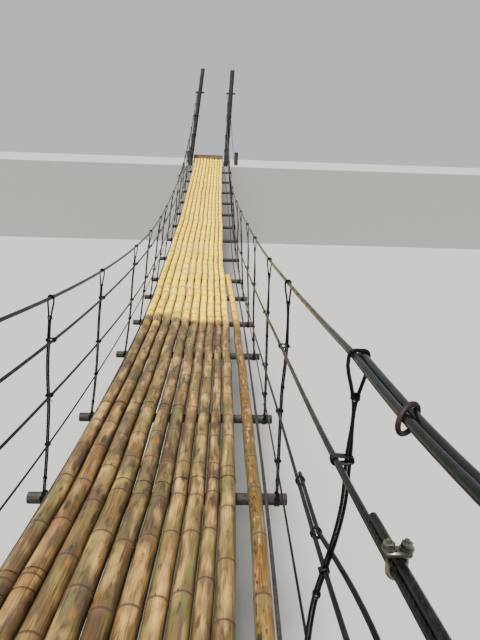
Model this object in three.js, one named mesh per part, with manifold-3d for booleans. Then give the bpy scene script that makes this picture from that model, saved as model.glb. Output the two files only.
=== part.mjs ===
import * as THREE from 'three';
import { mergeVertices } from 'three/addons/utils/BufferGeometryUtils.js';
import Module from 'manifold-3d';

// A rope suspension footbridge with a deck of bamboo poles, in millimetres.
// X is across the bridge, Y along it from the near bank to the far bank, Z up.
// The origin is the middle of the underside of the near bank's sill.
// Left and right are as seen by someone who walks along +Y.

const wasm = await Module();
wasm.setup();

// Driving dimensions
const SPAN = 26000;               // from sill to sill
const BAYS = 23;                  // one crossbeam between each two bays
const SAG = 1700;                 // how far the deck hangs below its ends
const GAP = 0.3;                  // left between pieces that touch
const TIE_GAP = 1.0;              // between a leaning hanger and the rope tied to it
const BEAM_SHIFTS = { 7: -200, 8: -400, 9: -158, 10: -280, 11: -60, 12: -150, 13: -200, 14: -430, 15: -260 };
const DRIFT = [0, -40, -45, 70, 90, 30, 10, -10, 0];   // the deck's wander to the right, in even steps
const POLE_TAPER = 0.06;          // what the rows lose of their width towards the banks
const POLE_JOINT = 2.5;           // between the cut ends of a row's two poles
const POLE_TAIL = 60;             // what a deck pole reaches past the middle of its sill
const EDGE_POLE = { width: 75, firstBeam: 5, lastBeam: 14, nearX: 600, farX: 537 };
const BEAM = { width: 80, left: -645, right: 790 };
const BEARER = { radius: 10, sink: 2, leftX: -519, rightX: 665 };
const SILL = { left: -505, right: 480, front: 100, step: -70, back: -165, top: 140 };
const BOARD = { height: 225, thickness: 45, back: -132 };
const POST = { height: 3050, sides: 12 };
const LEFT_POST = { radius: 70, footX: -628, lean: 0.134, ropeSide: -1 };
const RIGHT_POST = { radius: 80, footX: 586, lean: 0.0515, ropeSide: -1 };
const PEG = { radius: 28, reach: 75, sides: 12 };
const MAIN = { radius: 10.5, pegZ: 2320 };
const LEFT_MAIN = { middleX: -435, skew: 88, rise: 952, footX: -554 };
const RIGHT_MAIN = { middleX: 704, skew: -195, rise: 1060, footX: 730 };
const HANGER_RADIUS = 8;
const NEAR_LAP = { first: 7, last: 8 };   // the crossbeams between which two lengths of cable lap
const FAR_LAP = { first: 16, last: 17 };
const STAKE = { radius: 85, height: 520, distance: 4000, tieZ: 260, leftX: -800, rightX: 950 };
const ROPE_TAIL = 130;            // what a rope reaches past the middle of what it is tied to
const DECK_THICKNESS = 95;

// Rows of deck poles from left to right: their widths at mid-span, the gaps on their right,
// and the crossbeams over which each row's two poles meet
const ROWS = [
  { width: 90, gap: 6, joint: 13 },
  { width: 96, gap: 24, joint: 12 },
  { width: 94, gap: 8, joint: 14 },
  { width: 104, gap: 12, joint: 13 },
  { width: 92, gap: 20, joint: 12 },
  { width: 90, gap: 6, joint: 14 },
  { width: 80, gap: 5, joint: 13 },
  { width: 82, gap: 10, joint: 12 },
  { width: 70, gap: 18, joint: 13 },
  { width: 78, gap: 0, joint: 14 },
];

// Towards the near bank the poles thicken and shut this share of the gaps, between these distances
const CROWD = { from: 9400, to: 10800, shut: 0.8 };

// Side ropes: their heights over the deck, in even steps from the near posts to the far ones
const SIDE_ROPES = {
  left: {
    upper: { radius: 10, rises: [1330, 1080, 880, 800, 790, 800, 880, 1080, 1330] },
    middle: { radius: 8, rises: [730, 640, 560, 500, 430, 440, 480, 590, 730] },
    lower: { radius: 5.5, rises: [270, 250, 230, 205, 255, 270, 260, 260, 270] },
  },
  right: {
    upper: { radius: 10, rises: [1330, 1250, 1120, 810, 590, 480, 560, 860, 1330] },
    middle: { radius: 8, rises: [730, 820, 830, 450, 150, 75, 90, 300, 730] },
    lower: { radius: 5.5, rises: [270, 300, 330, 130, 40, 35, 45, 130, 270] },
  },
};

const MIDDLE = SPAN / 2;

// From -1 at the near posts to 1 at the far ones
function alongSpan(y) {
  return (THREE.MathUtils.clamp(y, 0, SPAN) - MIDDLE) / MIDDLE;
}

// A smooth line through values given in even steps along the span
function evenSteps(values) {
  const curve = new THREE.SplineCurve(values.map((value, i) => new THREE.Vector2(i, value)));
  return (y) => curve.getPoint((alongSpan(y) + 1) / 2).y;
}

const middleX = evenSteps(DRIFT);

function beamY(index) {
  return index * SPAN / BAYS + (BEAM_SHIFTS[index] ?? 0);
}

// The line of the crossbeams' tops: a parabola that runs on straight past the sills
function seat(y) {
  const inside = THREE.MathUtils.clamp(y, 0, SPAN);
  return SILL.top - SAG * (1 - alongSpan(y) ** 2) + seatSlope(y) * (y - inside);
}

function seatSlope(y) {
  return 2 * SAG * alongSpan(y) / MIDDLE;
}

// A point that stands off the seat line, square to it
function overSeat(x, y, distance) {
  const slope = seatSlope(y);
  const length = Math.hypot(1, slope);
  return new THREE.Vector3(x, y - distance * slope / length, seat(y) + distance / length);
}

// A path of straight stretches with its corners mitred
class StationPath extends THREE.Curve {
  constructor(points) {
    super();
    this.points = points;
  }

  getPoint(t, target = new THREE.Vector3()) {
    const last = this.points.length - 1;
    const index = Math.min(Math.floor(t * last + 1e-9), last - 1);
    return target.lerpVectors(this.points[index], this.points[index + 1], t * last - index);
  }

  getTangent(t, target = new THREE.Vector3()) {
    const last = this.points.length - 1;
    const index = Math.round(t * last);
    target.set(0, 0, 0);
    for (const start of [index - 1, index]) {
      if (start >= 0 && start < last) {
        target.add(this.points[start + 1].clone().sub(this.points[start]).normalize());
      }
    }
    return target.normalize();
  }

  getUtoTmapping(u) {
    return u;
  }
}

// A regular outline whose flats face along the axes, with its flats at this radius
function section(flatRadius, sides) {
  const corner = flatRadius / Math.cos(Math.PI / sides);
  const points = [];
  for (let i = 0; i < sides; i += 1) {
    const angle = (i + 0.5) * 2 * Math.PI / sides;
    points.push(new THREE.Vector2(corner * Math.cos(angle), corner * Math.sin(angle)));
  }
  return new THREE.Shape(points);
}

function tube(points, flatRadius, sides) {
  return new THREE.ExtrudeGeometry(section(flatRadius, sides), {
    steps: points.length - 1,
    extrudePath: new StationPath(points),
  });
}

function stations(first, last) {
  const list = [];
  for (let i = first; i <= last; i += 1) {
    list.push(beamY(i));
  }
  return list;
}

// Closed geometry to a solid and back, for the joins and cuts
function toSolid(geometry) {
  const bare = geometry.clone();
  bare.deleteAttribute('normal');
  bare.deleteAttribute('uv');
  const merged = mergeVertices(bare, 1e-3);
  return new wasm.Manifold(new wasm.Mesh({
    numProp: 3,
    vertProperties: new Float32Array(merged.attributes.position.array),
    triVerts: new Uint32Array(merged.index.array),
  }));
}

function toGeometry(solid) {
  const mesh = solid.getMesh();
  const geometry = new THREE.BufferGeometry();
  geometry.setAttribute('position', new THREE.BufferAttribute(mesh.vertProperties, 3));
  geometry.setIndex(new THREE.BufferAttribute(mesh.triVerts, 1));
  return geometry;
}

function join(geometries) {
  return toGeometry(geometries.map(toSolid).reduce((whole, piece) => whole.add(piece)));
}

// Materials
const material = (color, roughness, metalness = 0) =>
  new THREE.MeshStandardMaterial({ color, roughness, metalness });
const bamboo = material(0xc9b06a, 0.5);
const scuffedBamboo = material(0xb5772e, 0.55);
const darkTimber = material(0x3d3226, 0.85);
const greyTimber = material(0x6b655a, 0.9);
const plankTimber = material(0x9c7f68, 0.8);
const blackCable = material(0x23241f, 0.6);
const steelWire = material(0x3a3d38, 0.5, 0.4);

const bridge = new THREE.Group();

function place(name, geometry, finish) {
  const mesh = new THREE.Mesh(geometry, finish);
  mesh.name = name;
  bridge.add(mesh);
  return mesh;
}

// Deck poles: each row is two poles that meet over one crossbeam and thin out towards the banks
function rowPlace(index, y) {
  const poles = ROWS.reduce((sum, row) => sum + row.width, 0);
  const gaps = ROWS.reduce((sum, row) => sum + row.gap, 0);
  const shut = CROWD.shut * (1 - THREE.MathUtils.smoothstep(y, CROWD.from, CROWD.to));
  const swell = 1 + shut * gaps / poles;
  const radius = ROWS[index].width / 2 * swell;
  const before = ROWS.slice(0, index).reduce(
    (sum, row) => sum + row.width * swell + row.gap * (1 - shut), 0);
  return { x: before + radius - (poles + gaps) / 2, radius };
}

function deckPole(index, ys) {
  const pole = tube(ys.map((y) => new THREE.Vector3(0, y, 0)), 1, 8);
  const spots = pole.attributes.position;
  for (let i = 0; i < spots.count; i += 1) {
    const y = spots.getY(i);
    const row = rowPlace(index, y);
    const thin = 1 - POLE_TAPER * alongSpan(y) ** 2;
    const x = middleX(y) + thin * (row.x + row.radius * spots.getX(i));
    const spot = overSeat(x, y, thin * row.radius * (1 + spots.getZ(i)) + GAP);
    spots.setXYZ(i, spot.x, spot.y, spot.z);
  }
  return pole;
}

function addDeck() {
  ROWS.forEach(({ joint }, index) => {
    const halfJoint = POLE_JOINT / 2;
    const number = String(index + 1).padStart(2, '0');
    const near = [-POLE_TAIL, ...stations(0, joint - 1), beamY(joint) - halfJoint];
    const far = [beamY(joint) + halfJoint, ...stations(joint + 1, BAYS), SPAN + POLE_TAIL];
    place(`deck_pole_near_${number}`, deckPole(index, near), bamboo);
    place(`deck_pole_far_${number}`, deckPole(index, far), bamboo);
  });
}

// The odd pole that was added along the right edge, which bends away from it
function addEdgePole() {
  const { width, firstBeam, lastBeam, nearX, farX } = EDGE_POLE;
  const points = stations(firstBeam, lastBeam).map((y, i, all) => {
    const x = THREE.MathUtils.lerp(nearX, farX, (i / (all.length - 1)) ** 3);
    return overSeat(middleX(y) + x, y, width / 2 + GAP);
  });
  place('deck_edge_pole', tube(points, width / 2, 8), scuffedBamboo);
}

// Crossbeams, tied along both edges by the two bearer cables that lie on them
function crossbeam(y) {
  const beam = new THREE.CylinderGeometry(
    BEAM.width / 2 / Math.cos(Math.PI / 8), BEAM.width / 2 / Math.cos(Math.PI / 8),
    BEAM.right - BEAM.left, 8, 1, false, Math.PI / 8);
  beam.rotateZ(Math.PI / 2);
  beam.rotateX(Math.atan(seatSlope(y)));
  const middle = overSeat(middleX(y) + (BEAM.left + BEAM.right) / 2, y, -BEAM.width / 2);
  beam.translate(middle.x, middle.y, middle.z);
  return beam;
}

function bearer(spanX, postX, ys) {
  const points = ys.map((y) => {
    const x = middleX(y) + THREE.MathUtils.lerp(spanX, postX, alongSpan(y) ** 4);
    return overSeat(x, y, BEARER.radius - BEARER.sink);
  });
  return tube(points, BEARER.radius, 6);
}

// The place of a rope's middle where it passes its post, at a height over the ground
function besidePost(post, z, ropeRadius, side = post.ropeSide) {
  return post.footX + post.lean * z + side * (post.radius + 1.2 * ropeRadius + GAP);
}

// The bearer cables are in three lengths, which meet halfway between two crossbeams
function addCrossbeams() {
  const leftEnd = besidePost(LEFT_POST, SILL.top + 2 * BEARER.radius, BEARER.radius, 1);
  const rightEnd = besidePost(RIGHT_POST, SILL.top, BEARER.radius);
  const nearJoint = (beamY(NEAR_LAP.first) + beamY(NEAR_LAP.last)) / 2;
  const farJoint = (beamY(FAR_LAP.first) + beamY(FAR_LAP.last)) / 2;
  const halfGap = TIE_GAP / 2;
  const lengths = {
    near: [-ROPE_TAIL, ...stations(0, NEAR_LAP.first), nearJoint - halfGap],
    middle: [nearJoint + halfGap, ...stations(NEAR_LAP.last, FAR_LAP.first), farJoint - halfGap],
    far: [farJoint + halfGap, ...stations(FAR_LAP.last, BAYS), SPAN + ROPE_TAIL],
  };
  Object.entries(lengths).forEach(([name, ys]) => {
    const pieces = [
      bearer(BEARER.leftX, leftEnd, ys),
      bearer(BEARER.rightX, rightEnd, ys),
    ];
    for (let i = 1; i < BAYS; i += 1) {
      const y = beamY(i);
      if (y > ys[0] && y < ys[ys.length - 1]) {
        pieces.push(crossbeam(y));
      }
    }
    place(`crossbeams_${name}_on_bearer_cables`, join(pieces), darkTimber);
  });
}

// Everything on a bank is built for the near one and mirrored for the far one
function onBothBanks(addBank) {
  for (const bank of ['near', 'far']) {
    addBank(bank, (y) => (bank === 'near' ? y : SPAN - y));
  }
}

// Sill: a squared timber under the pole ends, its top hewn to the slope of the deck
function addSills() {
  onBothBanks((bank, along) => {
    const top = (y) => seat(0) + seatSlope(0) * y;
    const outline = [
      [SILL.back, 0],
      [SILL.front, 0],
      [SILL.front, top(SILL.front)],
      [SILL.step, top(SILL.step)],
      [SILL.step, SILL.top],
      [SILL.back, SILL.top],
    ].map(([y, z]) => new THREE.Vector2(along(y), z));
    const sill = new THREE.ExtrudeGeometry(new THREE.Shape(outline), {
      depth: SILL.right - SILL.left,
      bevelEnabled: false,
    });
    sill.applyMatrix4(new THREE.Matrix4().makeBasis(
      new THREE.Vector3(0, 1, 0), new THREE.Vector3(0, 0, 1), new THREE.Vector3(1, 0, 0)));
    sill.translate(SILL.left, 0, 0);
    place(`sill_${bank}`, sill, darkTimber);
  });
}

// Threshold board: stands on edge behind the pole ends and holds back the path
function addThresholdBoards() {
  onBothBanks((bank, along) => {
    const board = new THREE.BoxGeometry(SILL.right - SILL.left, BOARD.thickness, BOARD.height);
    board.translate(
      (SILL.left + SILL.right) / 2,
      along(BOARD.back + BOARD.thickness / 2),
      SILL.top + GAP + BOARD.height / 2);
    place(`threshold_board_${bank}`, board, plankTimber);
  });
}

// Posts lean to one side, and a peg through each one carries the main cable
function post(shape, y) {
  const { radius, footX, lean } = shape;
  const { height, sides } = POST;
  const corner = radius / Math.cos(Math.PI / sides);
  const trunk = new THREE.CylinderGeometry(corner, corner, height, sides, 1, false, Math.PI / sides);
  trunk.rotateX(Math.PI / 2);
  trunk.translate(0, 0, height / 2);
  trunk.applyMatrix4(new THREE.Matrix4().makeShear(0, 0, 0, 0, lean, 0));
  trunk.translate(footX, y, 0);
  return trunk;
}

function peg(shape, y, clearance) {
  const corner = (PEG.radius + clearance) / Math.cos(Math.PI / PEG.sides);
  const length = 2 * (shape.radius + PEG.reach);
  const turn = Math.PI / PEG.sides;
  const pin = new THREE.CylinderGeometry(corner, corner, length, PEG.sides, 1, false, turn);
  pin.rotateZ(Math.PI / 2);
  pin.translate(shape.footX + shape.lean * MAIN.pegZ, y, MAIN.pegZ);
  return pin;
}

function addPosts() {
  onBothBanks((bank, along) => {
    for (const [side, shape] of [['left', LEFT_POST], ['right', RIGHT_POST]]) {
      const drilled = toSolid(post(shape, along(0))).subtract(toSolid(peg(shape, along(0), GAP)));
      place(`post_${bank}_${side}`, toGeometry(drilled), greyTimber);
      place(`cable_peg_${bank}_${side}`, peg(shape, along(0), 0), darkTimber);
    }
  });
}

// Main cables: from stake to stake over the pegs, each made of three lengths that lap,
// with a hanger down to each crossbeam
function besideStake(side) {
  return side === 'left' ? STAKE.leftX : STAKE.rightX;
}

function pegBend() {
  return PEG.radius / Math.cos(Math.PI / PEG.sides) + 1.15 * MAIN.radius + GAP;
}

function mainCableSpot(post, shape, y) {
  const t = alongSpan(y);
  const pegX = besidePost(post, MAIN.pegZ, MAIN.radius);
  const x = middleX(y) + shape.middleX + (pegX - shape.middleX) * t * t + shape.skew * t * (1 - t * t);
  const lowZ = seat(MIDDLE) + DECK_THICKNESS + shape.rise;
  return new THREE.Vector3(x, y, lowZ + (MAIN.pegZ + pegBend() - lowZ) * t * t);
}

// The middle length runs beside the other two, on the deck's side of them
function inwardShift(side) {
  const shift = 2.2 * MAIN.radius + GAP;
  return side === 'left' ? shift : -shift;
}

// Where the hanger of a crossbeam meets the length of cable that carries it
function hangerTop(side, post, shape, beam) {
  const top = mainCableSpot(post, shape, beamY(beam));
  if (beam > NEAR_LAP.first && beam < FAR_LAP.last) {
    top.x += inwardShift(side);
  }
  return top;
}

// From the near stake up and over the near peg
function nearStay(side, post, shape) {
  const pegX = besidePost(post, MAIN.pegZ, MAIN.radius);
  const topZ = MAIN.pegZ + pegBend();
  const tieX = besideStake(side);
  const tail = ROPE_TAIL / STAKE.distance;
  const stay = [new THREE.Vector3(
    tieX + (tieX - pegX) * tail,
    -STAKE.distance - ROPE_TAIL,
    STAKE.tieZ - (topZ - STAKE.tieZ) * tail)];
  const spanAngle = Math.atan(2 * (topZ - mainCableSpot(post, shape, MIDDLE).z) / MIDDLE);
  const stayAngle = Math.atan((topZ - STAKE.tieZ) / STAKE.distance);
  const turns = 4;
  for (let i = 0; i <= turns; i += 1) {
    const angle = THREE.MathUtils.lerp(-stayAngle, spanAngle, i / turns);
    stay.push(new THREE.Vector3(
      pegX, pegBend() * Math.sin(angle), MAIN.pegZ + pegBend() * Math.cos(angle)));
  }
  return stay;
}

function hanger(footX, top) {
  const onBeam = overSeat(footX, top.y, 0);
  const axis = top.clone().sub(onBeam).normalize();
  const square = overSeat(footX, top.y, 1).sub(onBeam);
  const dip = HANGER_RADIUS / Math.cos(Math.PI / 6) * axis.clone().cross(square).length();
  const foot = onBeam.add(axis.multiplyScalar((dip + GAP) / axis.dot(square)));
  return tube([foot, top], HANGER_RADIUS, 6);
}

function addMainCables() {
  for (const [side, post, shape] of [
    ['left', LEFT_POST, LEFT_MAIN],
    ['right', RIGHT_POST, RIGHT_MAIN],
  ]) {
    // A length's path over these crossbeams, with a tail past its lapped ends
    const run = (first, last, startTail, endTail, offset) => {
      const ys = stations(first, last);
      ys[0] -= startTail;
      ys[ys.length - 1] += endTail;
      return ys.map((y) => mainCableSpot(post, shape, y).add(new THREE.Vector3(offset, 0, 0)));
    };
    const stay = nearStay(side, post, shape);
    const farStay = stay.map((point) => new THREE.Vector3(point.x, SPAN - point.y, point.z)).reverse();
    const shift = inwardShift(side);
    const lengths = {
      near: {
        path: [...stay, ...run(1, NEAR_LAP.last, 0, ROPE_TAIL, 0)],
        beams: [1, NEAR_LAP.first],
      },
      middle: {
        path: run(NEAR_LAP.first, FAR_LAP.last, ROPE_TAIL, ROPE_TAIL, shift),
        beams: [NEAR_LAP.first + 1, FAR_LAP.last - 1],
      },
      far: {
        path: [...run(FAR_LAP.first, BAYS - 1, ROPE_TAIL, 0, 0), ...farStay],
        beams: [FAR_LAP.last, BAYS - 1],
      },
    };
    for (const [part, { path, beams }] of Object.entries(lengths)) {
      const hangers = [];
      for (let beam = beams[0]; beam <= beams[1]; beam += 1) {
        const top = hangerTop(side, post, shape, beam);
        hangers.push(hanger(middleX(top.y) + shape.footX, top));
      }
      const name = `main_cable_${side}_${part}_with_hangers`;
      place(name, join([tube(path, MAIN.radius, 8), ...hangers]), blackCable);
    }
  }
}

// Side ropes: tied to the inner faces of the hangers, and round the posts
function addSideRopes() {
  for (const [side, post, shape] of [
    ['left', LEFT_POST, LEFT_MAIN],
    ['right', RIGHT_POST, RIGHT_MAIN],
  ]) {
    const sign = side === 'left' ? -1 : 1;
    for (const [level, rope] of Object.entries(SIDE_ROPES[side])) {
      const rise = evenSteps(rope.rises);
      const heightAt = (y) => seat(y) + DECK_THICKNESS + rise(y);
      const endX = besidePost(post, heightAt(0), rope.radius);
      const atPost = (y) => new THREE.Vector3(endX, y, heightAt(y));
      const span = [];
      for (let beam = 1; beam < BAYS; beam += 1) {
        const top = hangerTop(side, post, shape, beam);
        const y = top.y;
        const footX = middleX(y) + shape.footX;
        const z = heightAt(y);
        const up = (z - seat(y)) / (top.z - seat(y));
        const lean = Math.hypot(1, (top.x - footX) / (top.z - seat(y)));
        const off = (HANGER_RADIUS + 1.16 * rope.radius + TIE_GAP) * lean;
        span.push(new THREE.Vector3(THREE.MathUtils.lerp(footX, top.x, up) - sign * off, y, z));
      }
      const path = [
        atPost(-ROPE_TAIL),
        atPost(ROPE_TAIL),
        ...span,
        atPost(SPAN - ROPE_TAIL),
        atPost(SPAN + ROPE_TAIL),
      ];
      place(`side_rope_${side}_${level}`, tube(path, rope.radius, 6), steelWire);
    }
  }
}

// Anchor stakes: short posts in the ground behind each bank's posts
function addStakes() {
  onBothBanks((bank, along) => {
    for (const side of ['left', 'right']) {
      const corner = STAKE.radius / Math.cos(Math.PI / POST.sides);
      const stake = new THREE.CylinderGeometry(
        corner, corner, STAKE.height, POST.sides, 1, false, Math.PI / POST.sides);
      const outward = side === 'left' ? -1 : 1;
      const x = besideStake(side) + outward * (STAKE.radius + 1.22 * MAIN.radius + GAP);
      stake.rotateX(Math.PI / 2);
      stake.translate(x, along(-STAKE.distance), STAKE.height / 2);
      place(`anchor_stake_${bank}_${side}`, stake, greyTimber);
    }
  });
}

addDeck();
addEdgePole();
addCrossbeams();
addSills();
addThresholdBoards();
addPosts();
addMainCables();
addSideRopes();
addStakes();

export default bridge;
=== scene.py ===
# %% [markdown]
# # A rope suspension footbridge with a bamboo deck
#
# This lesson dresses the CAD model of a footbridge. Its deck is ten rows of thick bamboo poles
# laid lengthwise on log crossbeams. The crossbeams hang on loops of black cable from two main
# cables, which run over leaning posts to stakes behind them. Side ropes make the railings.
#
# The CAD model gives every length and place. Nearly all of the bridge is round stock that
# follows a curve, so one function makes the tubes, and each kind of part decides how its
# radius changes on the way: bamboo swells at its rings, logs are lumpy, cable is even.

# %% What the lesson works with
import itertools
import math
import random
from functools import partial

import bmesh
import bpy
import numpy as np
from mathutils import Matrix, Vector, noise


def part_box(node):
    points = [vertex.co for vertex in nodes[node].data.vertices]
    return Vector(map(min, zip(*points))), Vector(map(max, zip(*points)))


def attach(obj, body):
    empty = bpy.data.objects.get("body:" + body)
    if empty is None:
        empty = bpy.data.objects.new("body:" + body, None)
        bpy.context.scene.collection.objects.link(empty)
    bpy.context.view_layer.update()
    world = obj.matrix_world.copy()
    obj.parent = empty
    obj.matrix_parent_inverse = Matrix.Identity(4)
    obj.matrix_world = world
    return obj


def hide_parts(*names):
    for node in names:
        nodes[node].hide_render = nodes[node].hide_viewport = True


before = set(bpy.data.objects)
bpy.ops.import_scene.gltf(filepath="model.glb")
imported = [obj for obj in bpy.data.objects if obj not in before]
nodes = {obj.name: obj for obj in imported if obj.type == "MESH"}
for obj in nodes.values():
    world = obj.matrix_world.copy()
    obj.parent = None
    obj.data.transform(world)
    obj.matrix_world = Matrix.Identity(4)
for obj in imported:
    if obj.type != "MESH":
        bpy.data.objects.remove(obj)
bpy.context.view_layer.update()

# %% [markdown]
# ## The camera first
#
# The photo was taken on the deck, with the camera tilted a little down along it. The values
# below put the same crossbeams, rows and rope heights on the same pixels, so that every later
# cell can be judged against the photo. The lens is given as a distance in pixels, which a
# sensor of 36 mm over the longer side turns into millimetres.

# %% The camera at the photo's viewing angle
PHOTO_WIDTH, PHOTO_HEIGHT = 480, 640
LENS_PX = 510.2
YAW, PITCH, ROLL = (math.radians(v) for v in (2.533, 17.654, 1.994))
EYE = Vector((0.458, 7.601, 0.315))
SENSOR = 36.0

forward = Vector((math.sin(YAW) * math.cos(PITCH), math.cos(YAW) * math.cos(PITCH),
                  -math.sin(PITCH)))
level = Vector((math.cos(YAW), -math.sin(YAW), 0))
below = forward.cross(level)
right = math.cos(ROLL) * level - math.sin(ROLL) * below
down = math.sin(ROLL) * level + math.cos(ROLL) * below

lens = bpy.data.cameras.new("lens")
lens.sensor_width = SENSOR
lens.lens = LENS_PX / PHOTO_HEIGHT * SENSOR
lens.clip_start = 0.02
camera = bpy.data.objects.new("camera", lens)
turn = Matrix((right, -down, -forward)).transposed()
camera.matrix_world = Matrix.Translation(EYE) @ turn.to_4x4()
bpy.context.scene.collection.objects.link(camera)
bpy.context.scene.camera = camera
print("lens", round(lens.lens, 2), "mm")

# %% [markdown]
# ## Reading the paths out of the CAD model
#
# Each CAD pole, rope and cable is a prism that bends only over the crossbeams, so its vertices
# come in groups that stand apart along the bridge. The middle of each group is a point of the
# path. Straight lines between those points would show as kinks. A smooth curve through them is
# how the real thing hangs, and it still passes through every place that the CAD model gives.

# %% Groups of a CAD node's vertices
GROUP_GAP = 0.03      # metres along the bridge by which groups of vertices stand apart
BEAM_REACH = 1.4      # metres across the bridge, which only a crossbeam's group exceeds
THIRDS = ("near", "middle", "far")


def groups(node):
    """The vertices of a CAD node in groups that stand apart along the bridge."""
    points = np.array([v.co[:] for v in nodes[node].data.vertices])
    points = points[np.argsort(points[:, 1])]
    breaks = np.nonzero(np.diff(points[:, 1]) > GROUP_GAP)[0] + 1
    return np.split(points, breaks)


def middle(points):
    """The middle of the box round some points."""
    return Vector((points.min(0) + points.max(0)) / 2)


def is_beam(group):
    """Whether a group is a crossbeam and not a bend of the cables beside it."""
    return np.ptp(group[:, 0]) > BEAM_REACH


beam_groups = [(third, group) for third in THIRDS
               for group in groups(f"crossbeams_{third}_on_bearer_cables") if is_beam(group)]
beam_ys = [float(middle(group).y) for _, group in beam_groups]
print("crossbeams:", len(beam_ys), "about", round(beam_ys[1] - beam_ys[0], 3), "m apart")


# %% Smooth paths
def smooth_path(points, step):
    """Points about a step apart on a smooth curve through all the given ones."""
    points = [Vector(p) for p in points]
    chords = [b - a for a, b in zip(points, points[1:])]
    units = [c.normalized() for c in chords]
    tangents = [units[0]]
    for i in range(1, len(chords)):
        tangents.append((units[i - 1] * chords[i].length
                         + units[i] * chords[i - 1].length).normalized())
    tangents.append(units[-1])
    curve = []
    for i, chord in enumerate(chords):
        count = max(1, round(chord.length / step))
        for k in range(count):
            t = k / count
            curve.append(points[i] * (2 * t**3 - 3 * t**2 + 1)
                         + points[i + 1] * (3 * t**2 - 2 * t**3)
                         + tangents[i] * chord.length * (t**3 - 2 * t**2 + t)
                         + tangents[i + 1] * chord.length * (t**3 - t**2))
    return curve + [points[-1]]


def directions_of(path):
    """The unit direction of a path at each of its points."""
    ends = [path[0]] + list(path) + [path[-1]]
    return [(c - a).normalized() for a, c in zip(ends, ends[2:])]


def lengths_along(path):
    """The distance from a path's start at each of its points."""
    out = [0.0]
    for a, b in zip(path, path[1:]):
        out.append(out[-1] + (b - a).length)
    return out


beam_path = smooth_path([middle(group) for _, group in beam_groups], 0.1)
print("the deck measures", round(lengths_along(beam_path)[-1], 2),
      "m along its sag, from the first beam to the last")

# %% Places on a path
def interpolated(place, places, values):
    """A value between the given ones, at a place between theirs."""
    return float(np.interp(place, places, values))


def spot_on(path, places, place):
    """The point of a path at a place, where places are those of the path's own points."""
    return Vector([interpolated(place, places, axis) for axis in zip(*path)])


def at_y(path, y):
    """The point of a path at a distance along the bridge."""
    return spot_on(path, [p.y for p in path], y)


print("in the middle of the span the crossbeams lie at z", round(at_y(
    beam_path, (beam_ys[0] + beam_ys[-1]) / 2).z, 2))

# %% [markdown]
# ## One function for all tubes
#
# Blender can give a curve a round bevel, but then every ring of vertices has the same radius
# and knows nothing about its place. Here a shell gathers the vertices of one mesh, and its tube
# goes ring by ring along a path. Every vertex also keeps values that the materials read: the
# distance along the tube, the distance to the nearest bamboo ring, a number of its own for each
# tube, the way it faces round the tube, and the tint of its length of bamboo.

# %% A shell of tubes
VALUE_NAMES = ("along", "ring", "seed", "turn_x", "turn_y", "internode")
FAR_FROM_RING = 1.0


class Shell:
    """The vertices, faces and values of one mesh."""

    def __init__(self):
        self.points, self.faces = [], []
        self.values = {name: [] for name in VALUE_NAMES}

    def vertex(self, point, **values):
        """One vertex. The values that aren't given are 0."""
        self.points.append(point)
        for name in VALUE_NAMES:
            self.values[name].append(values.get(name, 0.0))

    def tube(self, path, radii, sides=12, seed=0.0, rings=None, shape=None, directions=None,
             along=None, internodes=None):
        """Rings of vertices along a path. shape(i, angle) changes the radius round a ring."""
        path = [Vector(p) for p in path]
        if isinstance(radii, (int, float)):
            radii = [radii] * len(path)
        directions = directions or directions_of(path)
        along = along or lengths_along(path)
        across = Vector((1, 0, 0)) if abs(directions[0].x) < 0.8 else Vector((0, 0, 1))
        first = len(self.points)
        for i, (centre, direction) in enumerate(zip(path, directions)):
            across = (across - direction * across.dot(direction)).normalized()
            up = across.cross(direction)
            for k in range(sides):
                angle = 2 * math.pi * k / sides
                x, y = math.cos(angle), math.sin(angle)
                radius = radii[i] * (shape(i, angle) if shape else 1)
                self.vertex(centre + (across * x + up * y) * radius, along=along[i],
                            ring=rings[i] if rings else FAR_FROM_RING, seed=seed,
                            turn_x=x, turn_y=y, internode=internodes[i] if internodes else 0)
        for i in range(len(path) - 1):
            row = first + i * sides
            for k in range(sides):
                n = (k + 1) % sides
                self.faces.append((row + k, row + sides + k, row + sides + n, row + n))
        last = first + (len(path) - 1) * sides
        self.faces.append(tuple(range(first, first + sides)))
        self.faces.append(tuple(range(last + sides - 1, last - 1, -1)))


trial = Shell()
trial.tube([(0, 0, 0), (0, 1, 0)], 0.05)
print("a straight tube has", len(trial.points), "vertices and", len(trial.faces), "faces")

# %% From a shell to a piece of the bridge
SHARP_ANGLE = math.radians(38)
piece_sizes = {}


def make_piece(name, shell, material, replaced=()):
    """The shell's mesh as an object of the bridge, with its material; the CAD nodes that it
    replaces are hidden.
    """
    mesh = bpy.data.meshes.new(name)
    mesh.from_pydata([p[:] for p in shell.points], [], shell.faces)
    for value_name, values in shell.values.items():
        mesh.attributes.new(value_name, "FLOAT", "POINT").data.foreach_set("value", values)
    mesh.materials.append(material)
    mesh.shade_smooth()
    mesh.set_sharp_from_angle(angle=SHARP_ANGLE)
    piece = bpy.data.objects.new(name, mesh)
    bpy.context.scene.collection.objects.link(piece)
    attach(piece, "root")
    if replaced:
        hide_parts(*replaced)
    piece_sizes[name] = len(shell.points)


print("an edge stays sharp from", round(math.degrees(SHARP_ANGLE)), "degrees on")

# %% [markdown]
# ## Materials
#
# A material is a small tree of shader nodes. One function adds a node: it takes what goes into
# the node's sockets, in their order (a value, a hex colour, the output of another node, or None
# to leave a socket alone), the stops of a colour ramp, and the node's settings. Colours are
# written as the hex values that a paint program shows, and turned into the linear values that
# the renderer counts with. Patterns are given by their size in millimetres.

# %% Helpers for materials
def linear(colour):
    """A hex colour such as #b5772e as linear red, green, blue and alpha."""
    parts = [int(colour[i:i + 2], 16) / 255 for i in (1, 3, 5)]
    return [v / 12.92 if v <= 0.04045 else ((v + 0.055) / 1.055) ** 2.4 for v in parts] + [1.0]


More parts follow.
